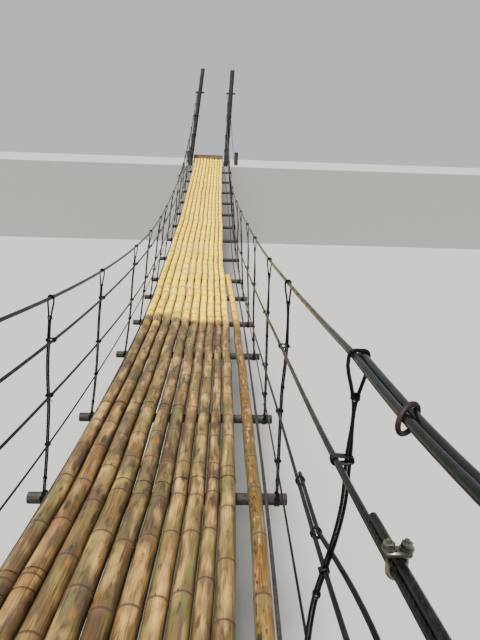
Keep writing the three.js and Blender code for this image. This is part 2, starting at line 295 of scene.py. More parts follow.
def per_metre(*sizes_mm):
    """How many times a pattern of these sizes fits into a metre, on X, Y and Z."""
    return tuple(1000 / size for size in sizes_mm)


def add_node(tree, kind, *inputs, stops=(), output=None, **settings):
    """A shader node with its settings, links and ramp. Gives its named or first output."""
    node = tree.nodes.new("ShaderNode" + kind)
    for name, value in settings.items():
        setattr(node, name, value)
    sockets = [socket for socket in node.inputs if socket.enabled]
    for socket, value in zip(sockets, inputs):
        if isinstance(value, bpy.types.NodeSocket):
            tree.links.new(value, socket)
        elif value is not None:
            socket.default_value = linear(value) if isinstance(value, str) else value
    if stops:
        elements = node.color_ramp.elements
        elements[0].position, elements[1].position = stops[0][0], stops[-1][0]
        for place, _ in stops[1:-1]:
            elements.new(place)
        for element, (_, shade) in zip(elements, stops):
            element.color = linear(shade) if isinstance(shade, str) else [shade] * 3 + [1]
    if output:
        return node.outputs[output]
    return next(socket for socket in node.outputs if socket.enabled)


print("the middle grey #808080 is", round(linear("#808080")[0], 3), "in linear light")

# %% What every material starts from
SKIN_RADIUS = 0.045     # metres, a usual culm's radius
SEED_STEP = 17.0        # metres between the patterns of two seeds


def new_material(name, roughness, ior=1.5, metallic=0.0):
    """A material, a short way to add nodes to it, and the values that every mesh carries.

    Among them, place is where a point is, and skin is where it would be on a straight culm, so
    that a pattern follows its own pole however the pole bends.
    """
    material = bpy.data.materials.new(name)
    material.use_nodes = True
    tree = material.node_tree
    shader = tree.nodes["Principled BSDF"]
    shader.inputs["Roughness"].default_value = roughness
    shader.inputs["Metallic"].default_value = metallic
    shader.inputs["IOR"].default_value = ior
    node = partial(add_node, tree)
    carried = {n: node("Attribute", output="Fac", attribute_name=n) for n in VALUE_NAMES}
    carried["place"] = node("TexCoord", output="Object")
    across, up = (node("Math", carried[n], SKIN_RADIUS, operation="MULTIPLY")
                  for n in ("turn_x", "turn_y"))
    along = node("Math", carried["seed"], SEED_STEP, carried["along"], operation="MULTIPLY_ADD")
    carried["skin"] = node("CombineXYZ", across, along, up)
    return material, node, carried


def join_shader(material, node, colour, roughness, height, depth):
    """Joins the colour, the roughness and the bumps, `depth` metres high, to the shader."""
    shader = material.node_tree.nodes["Principled BSDF"]
    bumps = node("Bump", 1.0, depth, None, height)
    for socket, value in (("Base Color", colour), ("Roughness", roughness), ("Normal", bumps)):
        material.node_tree.links.new(value, shader.inputs[socket])


print("the materials read", ", ".join(VALUE_NAMES), "from each vertex")

# %% [markdown]
# ## Bamboo
#
# A bamboo culm is a hollow stem with a hard, waxy skin, so it shines a little where the skin is
# whole. Every 30 cm or so it has a ring: a thin dark scar where the sheath sat, with a narrow
# ridge beside it. The near part of the deck has been walked on wet for years: its skin is tan
# and olive, dull grey-brown in places, stained, and worn to the pale wood elsewhere. Its colours
# there are also painted darker as the shade of trees, and the pale worn patches are partly
# painted flecks of sunlight. Beyond the middle the poles are painted a bright straw yellow as
# sunlight on them. To the eye that is a soft sheen over long streaks, broken at each ring.
#
# An image could carry all this, but it would have to be wrapped round every bent pole. So the
# material makes two finishes out of layers of noise, pulled out long along the pole: a darker one
# with painted shade and a brighter one with painted sunlight. It mixes them along Y. The patterns
# are tied to the values that each vertex carries.

# %% Layers of wear
FIBRE_SIZE = (5.0, 190.0, 5.0)    # mm; real fibres are finer than the render shows
FRAY = 0.25                       # how far the fibres shift the edge of a patch
LAYER_SHIFT = (5.3, 0.0, 2.9)     # in patches, from the noise of one layer to the next one's
WEATHERED = (
    (80, 380, 3, 0.58, 0.76, 0.75, "#3f3329"),     # skin gone dull and grey-brown
    (60, 300, 3, 0.61, 0.80, 0.66, "#62602a"),     # skin that is still a little green
    # The next layer is worn pale wood, and partly painted flecks of sunlight through the shade
    (75, 320, 2, 0.60, 0.86, 0.75, "#c69c56"),     # worn to the pale wood
    (60, 170, 3, 0.74, 0.85, 0.60, "#8e4f1e"),     # orange where it stayed wet
    (36, 150, 4, 0.70, 0.80, 0.85, "#1f1813"),     # rotten and nearly black
    (24, 80, 4, 0.64, 0.82, 0.50, "#3d2f1f"),      # brown mottling
    (5, 55, 2, 0.79, 0.85, 0.75, "#1a140f"),       # black flecks along the fibres
    (7, 9, 1, 0.87, 0.91, 0.85, "#0f0c09"),        # specks
)
# Patches over the far part, whose bright colour is painted sunlight
SUNLIT_LAYERS = (
    (60, 200, 3, 0.62, 0.80, 0.55, "#cf9a3a"),     # a little of the old straw colour
    (6, 70, 2, 0.80, 0.86, 0.55, "#6f4f22"),       # flecks
)
SCUFFED = (
    (60, 210, 3, 0.60, 0.74, 0.70, "#4c4a1c"),     # olive moss film
    (50, 170, 3, 0.66, 0.80, 0.60, "#a57a52"),     # pinkish worn wood
    (9, 60, 3, 0.76, 0.84, 0.60, "#43290d"),       # brown streaks
)
CHIPS = (
    (24, 60, 4, 0.68, 0.73, 0.90, "#1d1408"),      # dark chips out of the skin
    (26, 70, 4, 0.72, 0.79, 0.60, "#9c7a5c"),      # pale wood inside them
)
# Tints of a length between two rings, on the part in painted shade and on the part in painted sun
NEAR_TINTS = ((0.0, "#a5957f"), (0.22, "#fff0d2"), (0.45, "#bcb67f"), (0.62, "#fff6e2"),
              (0.8, "#94857b"), (1.0, "#ffe3bd"))
FAR_TINTS = ((0.0, "#ffffff"), (0.3, "#fff09c"), (0.55, "#ffffff"), (0.8, "#efd27e"),
             (1.0, "#fffad8"))


def layered(node, colour, where, fibres, layers, mask=None):
    """Patches over a colour, whose edges fray along the fibres.

    A layer is its width and length in mm, detail, where its ramp starts and is full, strength
    and colour.
    """
    for number, (width, length, detail, first, full, strength, patch) in enumerate(layers):
        spot = node("Mapping", where, tuple(number * shift for shift in LAYER_SHIFT), None,
                    per_metre(width, length, width))
        lumps = node("TexNoise", spot, 1.0, detail, 0.58)
        lumps = node("Math", fibres, FRAY, lumps, operation="MULTIPLY_ADD")
        amount = node("ValToRGB", lumps, stops=((first, 0.0), (full, strength)))
        if mask:
            amount = node("Math", amount, mask, operation="MULTIPLY")
        colour = node("Mix", amount, colour, patch, data_type="RGBA")
    return colour


print("layers of wear:", len(WEATHERED), "near,", len(SUNLIT_LAYERS), "far,", len(SCUFFED), "orange")

# %% The painted shade and the painted sunlight on the bamboo
# The deck is painted in shade before this place and in sunlight beyond it
SHADE_EDGE, SHADE_SOFT = 13.3, 0.22    # metres along the bridge where the deck turns pale
WANDER_SIZE, WANDER_MOST = 1000 / 3, 1.1   # mm of the noise, metres that the edge wanders


def shade_and_sunlight_finishes(node, carried, fibres, shaded, sunny, layers, chips):
    """The colour of the poles, painted in shade near and in sunlight far, and how far along the
    change a point is.
    """
    skin = carried["skin"]
    # The near part, painted as in shade, where each length between two rings has aged in its own
    # way
    near = node("ValToRGB", fibres, stops=tuple(zip((0.34, 0.5, 0.66), shaded)))
    tint = node("ValToRGB", carried["internode"], stops=NEAR_TINTS)
    near = node("Mix", 1.0, near, tint, data_type="RGBA", blend_type="MULTIPLY")
    near = layered(node, near, skin, fibres, layers)
    if chips:
        left_flank = node("ValToRGB", carried["turn_x"], stops=((0.0, 1.0), (0.45, 0.0)))
        near = layered(node, near, skin, fibres, chips, left_flank)
    # The far part, painted as in sunlight
    far = node("ValToRGB", fibres, stops=tuple(zip((0.34, 0.5, 0.62), sunny)))
    tint = node("ValToRGB", carried["internode"], stops=FAR_TINTS)
    far = node("Mix", 0.8, far, tint, data_type="RGBA", blend_type="MULTIPLY")
    far = layered(node, far, skin, fibres, SUNLIT_LAYERS)
    # The edge of the painted shade wanders from pole to pole
    y = node("SeparateXYZ", carried["place"], output="Y")
    wander = node("TexNoise", carried["place"], *per_metre(WANDER_SIZE), 2, 0.5)
    y = node("Math", wander, WANDER_MOST,
             node("Math", y, WANDER_MOST / 2, operation="SUBTRACT"), operation="MULTIPLY_ADD")
    reach = node("MapRange", y, SHADE_EDGE - SHADE_SOFT, SHADE_EDGE + SHADE_SOFT,
                 interpolation_type="SMOOTHSTEP")
    return node("Mix", reach, near, far, data_type="RGBA"), reach


print("the deck turns pale about", SHADE_EDGE, "m along the bridge, give or take",
      WANDER_MOST / 2, "m")

# %% Painted shade and moss on the bamboo's flanks
MOSS_SIZE = 1000 / 9                   # mm, about a hand's breadth


def shaded_flanks_and_moss(node, carried, colour, reach):
    """The colour with painted shade on the lower flanks, between the poles, and moss on the
    flanks, which never dry.
    """
    up = carried["turn_y"]
    # Painted shade: the lower flanks are darkened, as shade falls there between the poles
    flank_shade = node("ValToRGB", up, stops=((0.0, 0.95), (0.35, 0.6), (0.85, 0.0)))
    colour = node("Mix", flank_shade, colour, "#231a0e", data_type="RGBA")
    damp = node("TexNoise", carried["place"], *per_metre(MOSS_SIZE), 4, 0.6)
    damp = node("ValToRGB", damp, stops=((0.5, 0.0), (0.62, 0.75)))
    flank = node("ValToRGB", up, stops=((0.1, 1.0), (0.62, 0.0)))
    moss = node("Math", node("Math", damp, flank, operation="MULTIPLY"),
                node("ValToRGB", reach, stops=((0.0, 1.0), (1.0, 0.35))), operation="MULTIPLY")
    return node("Mix", moss, colour, "#454c1a", data_type="RGBA")


print("patches of moss are", round(MOSS_SIZE), "mm wide")

# %% The bamboo's material
CRACK_SIZE = (25 / 3, 1000 / 1.1, 25 / 3)  # mm from one crack to the next, and their length
SCAR_WIDTH = (0.0032, 0.0085)          # metres beside a ring where its scar is full and ends
DIRT_WIDTH = (0.006, 0.045)            # the same for the dirt that gathers there
FIBRE_RELIEF = 0.0011                  # metres
WAX_ROUGHNESS, WAX_IOR = 0.5, 1.45     # of the wax on a culm, half worn off


def bamboo_material(name, shaded, sunny, layers, chips=()):
    """Weathered bamboo. shaded and sunny are three hex shades of fibre each, dark to light,
    painted shade and sunlight.
    """
    material, node, carried = new_material(name, WAX_ROUGHNESS, WAX_IOR)
    skin, ring = carried["skin"], carried["ring"]
    fibres = node("TexNoise", node("Mapping", skin, None, None, per_metre(*FIBRE_SIZE)),
                  1.0, 4, 0.6)
    colour, reach = shade_and_sunlight_finishes(node, carried, fibres, shaded, sunny, layers, chips)
    colour = shaded_flanks_and_moss(node, carried, colour, reach)
    # The scar at each ring, and the dirt that gathers beside it
    dirt = node("ValToRGB", ring, stops=((DIRT_WIDTH[0], 0.7), (DIRT_WIDTH[1], 0.0)))
    dirt = node("Math", dirt, node("ValToRGB", fibres, stops=((0.4, 1.0), (0.6, 0.2))),
                operation="MULTIPLY")
    colour = node("Mix", dirt, colour, "#5a4229", data_type="RGBA")
    scar = node("ValToRGB", ring, stops=((SCAR_WIDTH[0], 0.92), (SCAR_WIDTH[1], 0.0)))
    colour = node("Mix", scar, colour, "#2e1d11", data_type="RGBA")
    # Cracks run along the fibres
    cracks = node("TexNoise", node("Mapping", skin, None, None, per_metre(*CRACK_SIZE)),
                  1.0, 2, 0.4)
    cracks = node("ValToRGB", cracks, stops=((0.29, 0.8), (0.32, 0.0)))
    colour = node("Mix", cracks, colour, "#2b2015", data_type="RGBA")
    # The skin shines a little between the fibres, and a scar doesn't shine
    gloss = node("ValToRGB", fibres, stops=((0.35, 0.62), (0.65, 0.42)))
    gloss = node("Math", gloss, scar, operation="MAXIMUM")
    height = node("Math", fibres, cracks, operation="SUBTRACT")
    join_shader(material, node, colour, gloss, height, FIBRE_RELIEF)
    return material


# The shaded hex shades are painted shade and the sunny ones painted sunlight, on both poles
bamboo = bamboo_material("bamboo, weathered poles in painted shade and sunlight", ("#43331d", "#6d5733", "#907446"),
                         ("#d8a814", "#ffdc2c", "#fff452"), WEATHERED)
orange_bamboo = bamboo_material("bamboo, scuffed orange pole in painted shade and sunlight", ("#442d10", "#765419", "#956e33"),
                                ("#a87a08", "#e0a614", "#f6c83a"), SCUFFED, CHIPS)
print("bamboo has", len(bamboo.node_tree.nodes), "nodes; its fibres are drawn", FIBRE_SIZE[0],
      "mm wide")

# %% [markdown]
# ## The deck poles
#
# Each row is two poles whose cut ends meet over a crossbeam. A culm starts from the CAD pole's
# path and radius. It is a little thicker, because the CAD poles keep gaps that the real ones
# hardly have, and raised by as much, so that it still lies on the beams. What gap is left is
# shared out evenly. Poles are never straight, so all sway a little, neighbours together.
#
# One internode could be modelled and repeated along a curve, but then all would be alike.
# So rings come at uneven spacing, the stem is slimmest between them, and the buds sit on
# alternate sides. The cut ends are hollow: the tube turns inward and stops at a wall inside.

# %% Where the deck's rows lie
CULM_SHARE = (1.035, 1.06) # of the CAD pole's radius, on the crowded near part and beyond it
CROWDED_TO = (9.6, 11.2)   # metres along the bridge between which the near part ends
SHARED_SWAY = 0.016        # metres that neighbours lie off their paths together
SWAY_LENGTH = 0.9          # metres from one bend of theirs to the next
pole_names = sorted(n for n in nodes if n.startswith("deck_pole"))
row_count = len(pole_names) // 2


def half_width(group):
    """Half of a group's width across the bridge, which is a CAD pole's radius."""
    return float(np.ptp(group[:, 0])) / 2


cad_rows = []      # for each row, where its CAD poles bend: y, x and radius
for row in range(row_count):
    spots = [(middle(group).y, middle(group).x, half_width(group))
             for name in pole_names if name.endswith(f"{row + 1:02d}") for group in groups(name)]
    cad_rows.append(np.array(sorted(spots)))


def culm_share(y):
    """The culm's radius as a share of the CAD pole's, at a place along the bridge."""
    return interpolated(y, CROWDED_TO, CULM_SHARE)


def shared_sway(point):
    """How far the poles about a point lie to one side. Poles that touch bend together."""
    return SHARED_SWAY * noise.noise(Vector((point.y / SWAY_LENGTH, point.x * 0.8, 4.2)))


def even_shift(row, y):
    """How far a row's culm lies aside of its CAD pole, to share the gaps with the other rows."""
    xs, radii = ([interpolated(y, path[:, 0], path[:, k]) for path in cad_rows]
                 for k in (1, 2))
    widths = [2 * radius * culm_share(y) for radius in radii]
    left, right = xs[0] - radii[0], xs[-1] + radii[-1]
    gap = (right - left - sum(widths)) / (row_count - 1)
    return left + sum(widths[:row]) + gap * row + widths[row] / 2 - xs[row]


def culm_centre(row, point, cad_radius):
    """Where the culm's middle lies, for a point on the middle of a CAD pole of that row."""
    aside = shared_sway(point) + (0 if row is None else even_shift(row, point.y))
    return point + Vector((aside, 0, -cad_radius * (1 - culm_share(point.y))))


print("the rows are moved aside by up to", round(1000 * max(
    abs(even_shift(row, beam_ys[8])) for row in range(row_count)), 1), "mm at one beam")

# %% A bud above a ring
BUD_LENGTH, BUD_WIDTH, BUD_RISE = 0.026, 0.016, 0.0035
BUD_ROOT = 0.001           # metres that its edge lies below the culm's skin
BUD_FROM, BUD_CREST = 0.002, 0.006     # metres from the ring to its foot and to its highest point


def add_bud(shell, centre, direction, radius, angle, seed):
    """A flat pointed bud that lies on the culm above a ring."""
    side = Vector((1, 0, 0))
    side = (side - direction * side.dot(direction)).normalized()
    up = side.cross(direction)

    def on_culm(turn, forward_by, rise):
        """A point at an angle round the culm, moved along it and raised from its skin."""
        return (centre + direction * forward_by
                + (side * math.cos(turn) + up * math.sin(turn)) * (radius + rise))

    half = BUD_WIDTH / 2 / radius
    corners = [on_culm(angle - half, BUD_FROM, -BUD_ROOT),
               on_culm(angle + half, BUD_FROM, -BUD_ROOT),
               on_culm(angle, BUD_LENGTH, -BUD_ROOT), on_culm(angle, BUD_CREST, BUD_RISE)]
    first = len(shell.points)
    for corner in corners:
        shell.vertex(corner, along=0.0, ring=0.0, seed=seed, turn_y=1.0)
    for face in ((0, 1, 3), (1, 2, 3), (2, 0, 3), (0, 2, 1)):
        shell.faces.append(tuple(first + i for i in face))


print("a bud is", round(1000 * BUD_LENGTH), "mm long")

# %% How thick a culm is on its way
RING_PROFILE = ((-0.014, 1.0), (-0.006, 1.02), (-0.002, 1.03), (0.001, 0.985),
                (0.004, 1.024), (0.013, 1.0))     # metres from the scar, share of the radius
STEM_PROFILE = ((0.2, 0.99), (0.5, 0.978), (0.8, 0.988))   # share of the way to the next ring
WALL_SHARE = 0.72          # the hollow's radius at a cut end, as a share of the culm's
HOLLOW_SHARE, HOLLOW_DEPTH = 0.7, 0.07     # the same at the wall inside, and how deep it lies
END_TO_RING = 0.02         # metres to a ring, as a cut end's vertices say, so that it is dirty


def culm_stations(ring_places, total):
    """The places where a culm changes its radius, and its share of the radius there."""
    stations = {0.0: 1.0, total: 1.0}
    for ring in ring_places:
        for offset, swell in RING_PROFILE:
            if 0 < ring + offset < total:
                stations[ring + offset] = swell
    for ring, after in zip(ring_places, ring_places[1:]):
        for share, swell in STEM_PROFILE:
            stations[ring + (after - ring) * share] = swell
    return sorted(stations.items())


def hollow_end(row, inward):
    """Two more rows for a cut end: the inner edge of the culm's wall, and the wall inside."""
    centre, radius, direction, _, place, tint = row
    inside = centre + direction * inward * HOLLOW_DEPTH
    return [(centre, radius * WALL_SHARE, direction, END_TO_RING, place, tint),
            (inside, radius * HOLLOW_SHARE, direction, END_TO_RING, place, tint)]


trial_ends = hollow_end((Vector(), 1.0, Vector((0, 1, 0)), 0.0, 0.0, 0.5), 1)
print("two rings and the stem between them have", len(culm_stations([0.1, 0.4], 0.5)) - 2,
      "rows of vertices, and a cut end has", len(trial_ends), "more")

# %% A culm along a CAD pole
CULM_SIDES = 20
FIRST_RING = (0.06, 0.2)   # metres from the cut end to the first ring
LAST_RING = 0.05           # metres from the last ring to the other end, at least
INTERNODE = (0.29, 0.42)   # metres from one ring to the next
SWAY = 0.0015              # metres that a ring may lie off the pole's path to either side
OVAL_MOST = 0.014          # how much wider one way than the other a culm may be
TINT_SPREAD = 0.13         # how far a length between two rings strays from its row's tint
BUD_MISSING = 0.35         # chance that a ring has lost its bud
BUD_SIDES = (0.72, 0.28)   # half turns from the right to the buds, which change sides
BUD_STRAY = 0.5            # radians that a bud may sit off its place
NO_BUD_END = 0.1           # metres from the culm's end where no bud sits


def add_culm(shell, node, seed, row=None, tint=0.5):
    """A bamboo culm along a CAD pole, in a row of the deck or outside them."""
    pick = random.Random(seed)
    parts = groups(node)
    path = smooth_path([middle(p) for p in parts], 0.1)
    reach = lengths_along(path)
    steer = directions_of(path)
    part_ys = [float(middle(p).y) for p in parts]
    part_radii = [half_width(p) for p in parts]
    total = reach[-1]
    ring_places, place = [], pick.uniform(*FIRST_RING)
    while place < total - LAST_RING:
        ring_places.append(place)
        place += pick.uniform(*INTERNODE)
    sway = [pick.uniform(-SWAY, SWAY) for _ in ring_places]
    oval, lean = pick.uniform(0.0, OVAL_MOST), pick.uniform(0, math.pi)
    tints = [min(1.0, tint + pick.uniform(-TINT_SPREAD, TINT_SPREAD))
             for _ in range(len(ring_places) + 1)]

    def spot_at(place):
        """The culm's middle, radius and direction at a distance along it."""
        centre = spot_on(path, reach, place)
        cad_radius = interpolated(centre.y, part_ys, part_radii)
        radius = cad_radius * culm_share(centre.y)
        centre = culm_centre(row, centre, cad_radius)
        centre.x += interpolated(place, ring_places, sway)
        return centre, radius, steer[min(len(path) - 1, int(np.searchsorted(reach, place)))]

    rows = []
    for place, swell in culm_stations(ring_places, total):
        centre, radius, direction = spot_at(place)
        to_ring = min(abs(place - ring) for ring in ring_places)
        rings_passed = sum(ring < place for ring in ring_places)
        rows.append((centre, radius * swell, direction, to_ring, place, tints[rings_passed]))
    rows = hollow_end(rows[0], 1)[::-1] + rows + hollow_end(rows[-1], -1)
    centres, radii, directions, to_rings, along, internodes = zip(*rows)
    shell.tube(centres, radii, CULM_SIDES, seed, to_rings, directions=directions, along=along,
               shape=lambda i, angle: 1 - oval + oval * math.cos(2 * (angle - lean)),
               internodes=internodes)
    for number, place in enumerate(ring_places):
        if place > total - NO_BUD_END or pick.random() < BUD_MISSING:
            continue
        centre, radius, direction = spot_at(place)
        angle = math.pi * BUD_SIDES[number % 2] + pick.uniform(-BUD_STRAY, BUD_STRAY)
        add_bud(shell, centre, direction, radius * 0.99, angle, seed)


print("a pole's rings lie", INTERNODE[0], "to", INTERNODE[1], "m apart")

# %% The deck's culms
# For each row, left to right, its usual place on the ramps NEAR_TINTS and FAR_TINTS
ROW_TINTS = (0.86, 0.98, 0.60, 0.42, 0.80, 0.90, 0.26, 0.45, 0.78, 0.62)
for number, name in enumerate(pole_names):
    culm = Shell()
    row = number % row_count
    add_culm(culm, name, 11 + 3.7 * number, row, ROW_TINTS[row])
    make_piece("culm_" + name[len("deck_pole_"):], culm, bamboo, [name])
edge_culm = Shell()
add_culm(edge_culm, "deck_edge_pole", 5.3)
make_piece("culm_edge", edge_culm, orange_bamboo, ["deck_edge_pole"])
print("culms:", len(pole_names) + 1, "with", len(edge_culm.points), "vertices in the edge one")

# %% [markdown]
# ## Timber
#
# The crossbeams are wet, nearly black logs with their bark on: the eye sees a dull, ribbed
# cylinder with hardly a highlight. The posts have stood in the weather: they are dark grey and
# split lengthwise, which gives the eye thin black lines and a matt surface between them. The
# boards in front of the sills are sawn, so their grain runs straight and brown in fine ridges.
#
# Blender's wave texture can draw growth rings, but those show only on a cut face. Bark, splits
# and sawn grain are all irregular streaks. So all three are noises stretched along the grain,
# which differ in their sizes and shades, and one function makes them.

# %% Timber materials
MOSS_PATCH = 200.0         # mm


def wood_material(name, shades, grain_mm, crack_mm, depth, moss=0.0):
    """Weathered wood: three hex shades, and the size of its grain and cracks in mm on X, Y, Z."""
    material, node, carried = new_material(name, 0.8)
    place = carried["place"]
    grain = node("Mapping", place, None, None, per_metre(*grain_mm))
    coarse = node("TexNoise", grain, 1.0, 5, 0.58)
    fine = node("TexNoise", grain, 4.0, 4, 0.58)
    tone = node("Math", fine, 0.4, node("Math", coarse, 0.6, operation="MULTIPLY"),
                operation="MULTIPLY_ADD")
    colour = node("ValToRGB", tone, stops=tuple(zip((0.36, 0.5, 0.66), shades)))
    cracks = node("TexNoise", node("Mapping", place, None, None, per_metre(*crack_mm)),
                  1.0, 3, 0.58)
    cracks = node("ValToRGB", cracks, stops=((0.33, 0.85), (0.385, 0.0)))
    colour = node("Mix", cracks, colour, "#120e0a", data_type="RGBA")
    green = node("TexNoise", place, *per_metre(MOSS_PATCH), 4, 0.65)
    green = node("ValToRGB", green, stops=((0.52, 0.0), (0.64, moss)))
    colour = node("Mix", green, colour, "#4d5730", data_type="RGBA")
    height = node("Math", tone, cracks, operation="SUBTRACT")
    gloss = node("ValToRGB", tone, stops=((0.35, 0.9), (0.65, 0.65)))
    join_shader(material, node, colour, gloss, height, depth)
    return material


# Real bark and grain have ridges of 2 to 6 mm; they are drawn wider here, so that they show
dark_log = wood_material("timber, round log with wet bark", ("#0b0806", "#1a130d", "#33271b"),
                         (110, 17, 17), (200, 11, 11), 0.004, 0.1)
grey_post = wood_material("timber, round post weathered grey", ("#0f0d0a", "#201b15", "#3a332a"),
                          (14, 14, 200), (10.5, 10.5, 420), 0.005, 0.25)
sawn_board = wood_material("timber, sawn board", ("#44392d", "#6d5d4b", "#8f7b65"),
                           (250, 14, 14), (400, 8, 8), 0.002)
print("timber finishes:", ", ".join(m.name for m in (dark_log, grey_post, sawn_board)))

# %% [markdown]
# ### Logs
#
# A log is a tube that narrows a little and whose bark rises and falls. That could be a
# displacement on a fine mesh, but the lumps are as large as a hand, so moving the tube's own
# vertices by a noise is enough and stays cheap. Where a post is broken off, the vertices of
# its top are pulled down by uneven amounts, which leaves splinters.

# %% Logs with bark
LOG_SIDES = 16
LOG_STEP = 0.05            # metres from one ring of vertices to the next
LOG_END = 0.86             # its radius at its rounded ends, as a share


def add_log(shell, start, end, radius, end_radius, seed, lumps=0.05, sides=LOG_SIDES,
            broken=0.0):
    """A log from start to end. lumps is how much of its radius the bark rises and falls.

    broken is how far down splinters are missing from its top.
    """
    count = max(6, round((end - start).length / LOG_STEP))
    path = [start.lerp(end, k / count) for k in range(count + 1)]
    radii = [radius + (end_radius - radius) * k / count for k in range(count + 1)]
    path = [path[0]] + path + [path[-1]]
    radii = [radii[0] * LOG_END] + radii + [radii[-1] * LOG_END]
    straight = [(end - start).normalized()] * len(path)

    def bark(i, angle):
        """A ring's radius at an angle, as a share of the log's."""
        spot = Vector((math.cos(angle) * 1.3, math.sin(angle) * 1.3, i * 0.32 + seed * 7.7))
        return 1 - lumps + lumps * noise.noise(spot)

    shell.tube(path, radii, sides, seed, shape=bark, directions=straight)
    if broken:
        for i in range(len(shell.points) - 2 * sides, len(shell.points)):
            k = i % sides
            torn = abs(noise.noise(Vector((k * 1.7, seed, 0))))
            shell.points[i] -= straight[0] * broken * torn


print("a log has", LOG_SIDES, "sides and a ring every", round(1000 * LOG_STEP), "mm")

# %% [markdown]
# ## Cable, rope and wire
#
# The main cables and the hangers have an extruded sheath of black rubber: smooth, so it gives
# the eye one thin soft highlight along its upper side. The side ropes are laid from six steel
# strands and black with grease, which hides the metal, so they are hardly metallic and shine
# unevenly along the grooves. The wire that ties them is thin and blackened, to the eye a dull
# black line. Where it is new it is galvanised: pale grey with a small glint.
#
# The grooves could be modelled, but at a few millimetres they are bump here: a wave that winds
# round the rope, out of the angle and the distance that each vertex carries, which also paints
# the grooves darker as shade in them. All these finishes are dark with a rubbed and gritty
# surface, so one function makes them.

# %% Cable materials
STRANDS = 6                # strands that a wire rope is laid from
ROPE_LAY = 1000 / 9        # mm in which a strand goes once round the rope
BLOTCH_SIZE = 500 / 7      # mm, of dust and grease
RUB_SIZE = (50 / 3, 250 / 3, 50 / 3)       # mm, longer along the bridge
GRIT_SIZE = 3.125          # mm; real grit is finer than the render shows
CABLE_RELIEF = 0.0004      # metres


def cable_material(name, shades, worn, roughness, metallic=0.0, ior=1.5, twist=0.0,
                   groove_shade=0.0, specular=0.5):
    """Cable or rod of three hex shades. twist is how many turns its strands make in a metre."""
    material, node, carried = new_material(name, roughness, ior, metallic)
    shader = material.node_tree.nodes["Principled BSDF"]
    shader.inputs["Specular IOR Level"].default_value = specular
    place = carried["place"]
    blotches = node("TexNoise", place, *per_metre(BLOTCH_SIZE), 5, 0.65)
    colour = node("ValToRGB", blotches, stops=tuple(zip((0.38, 0.52, 0.68), shades)))
    rubbed = node("TexNoise", node("Mapping", place, None, None, per_metre(*RUB_SIZE)),
                  1.0, 4, 0.6)
    amount = node("ValToRGB", rubbed, stops=((0.58, 0.0), (0.68, 0.7)))
    colour = node("Mix", amount, colour, worn, data_type="RGBA")
    height = node("Math", node("TexNoise", place, *per_metre(GRIT_SIZE), 3, 0.6), 0.3,
                  operation="MULTIPLY")
    if twist:
        angle = node("Math", carried["turn_y"], carried["turn_x"], operation="ARCTAN2")
        laid = node("Math", carried["along"], 2 * math.pi * twist * STRANDS, operation="MULTIPLY")
        wave = node("Math", angle, float(STRANDS), laid, operation="MULTIPLY_ADD")
        # Painted shade: the grooves between the strands are darkened, as shade falls in them, and
        # sunk as bump
        groove = node("ValToRGB", node("Math", wave, operation="SINE"),
                      stops=((0.0, 1.0), (0.6, 0.0)))
        shade = node("Math", groove, groove_shade, operation="MULTIPLY")
        colour = node("Mix", shade, colour, "#080706", data_type="RGBA")
        height = node("Math", height, groove, operation="SUBTRACT")
    gloss = node("ValToRGB", rubbed, stops=((0.4, roughness - 0.1), (0.7, roughness + 0.2)))
    join_shader(material, node, colour, gloss, height, CABLE_RELIEF)
    return material


# The specular level of the black ones is low, for their dust and grease swallow the sky's light
black_cable = cable_material("rubber, black cable sheath", ("#050605", "#0a0b0a", "#131513"),
                             "#1a1c19", 0.24, ior=1.52, specular=0.2)
black_wire = cable_material("steel, blackened tie wire", ("#060605", "#0e0d0c", "#1a1816"),
                            "#2e2a24", 0.6, 0.1, specular=0.2)
wire_rope = cable_material("steel, greased wire rope", ("#060606", "#0c0c0b", "#161614"),
                           "#22211d", 0.3, 0.1, twist=1000 / ROPE_LAY, groove_shade=0.15,
                           specular=0.2)
tie_wire = cable_material("steel, galvanised tie wire", ("#4a4a45", "#6d6d66", "#8f8f86"),
                          "#a5a59c", 0.5, 0.7)
print("cable finishes:", ", ".join(m.name for m in (black_cable, black_wire, wire_rope, tie_wire)))

# %% [markdown]
# ## The crossbeams and the cables that tie them together
#
# Twenty-two logs lie across the bridge, and a bearer cable runs over their ends on each side.
# The CAD beams give each log its place. The logs are thinner than the CAD beams, to leave room
# below for the turns of the hangers, but their tops are where the deck lies. A log and its
# stretch of cable could be one object each. They share a mesh for each third of the bridge,
# because every beam rests on both cables there.

# %% Crossbeams and bearer cables
LOG_RADIUS = 0.035
LOG_SHORTER = 0.004        # metres that a log ends before its CAD beam
BEAM_LUMPS = 0.06          # how much of its radius its bark rises and falls
BEARER_RADIUS = 0.0095     # of the cable under the deck's edge
BEARER_DEPTH = 0.024       # metres below a group's top where the bearer's vertices lie
BEARER_FROM = 0.3          # metres from the bridge's middle, inside of both bearers


def bearer_spots(parts, side):
    """The middle of the bearer cable on one side, at each group of the CAD node."""
    spots = []
    for group in parts:
        half = group[group[:, 0] * side > BEARER_FROM]
        if is_beam(group):
            inner = np.abs(half[:, 0] - middle(group).x) < half_width(group) - 0.02
            half = half[inner]
        spots.append(middle(half[half[:, 2] > half[:, 2].max() - BEARER_DEPTH]))
    return spots


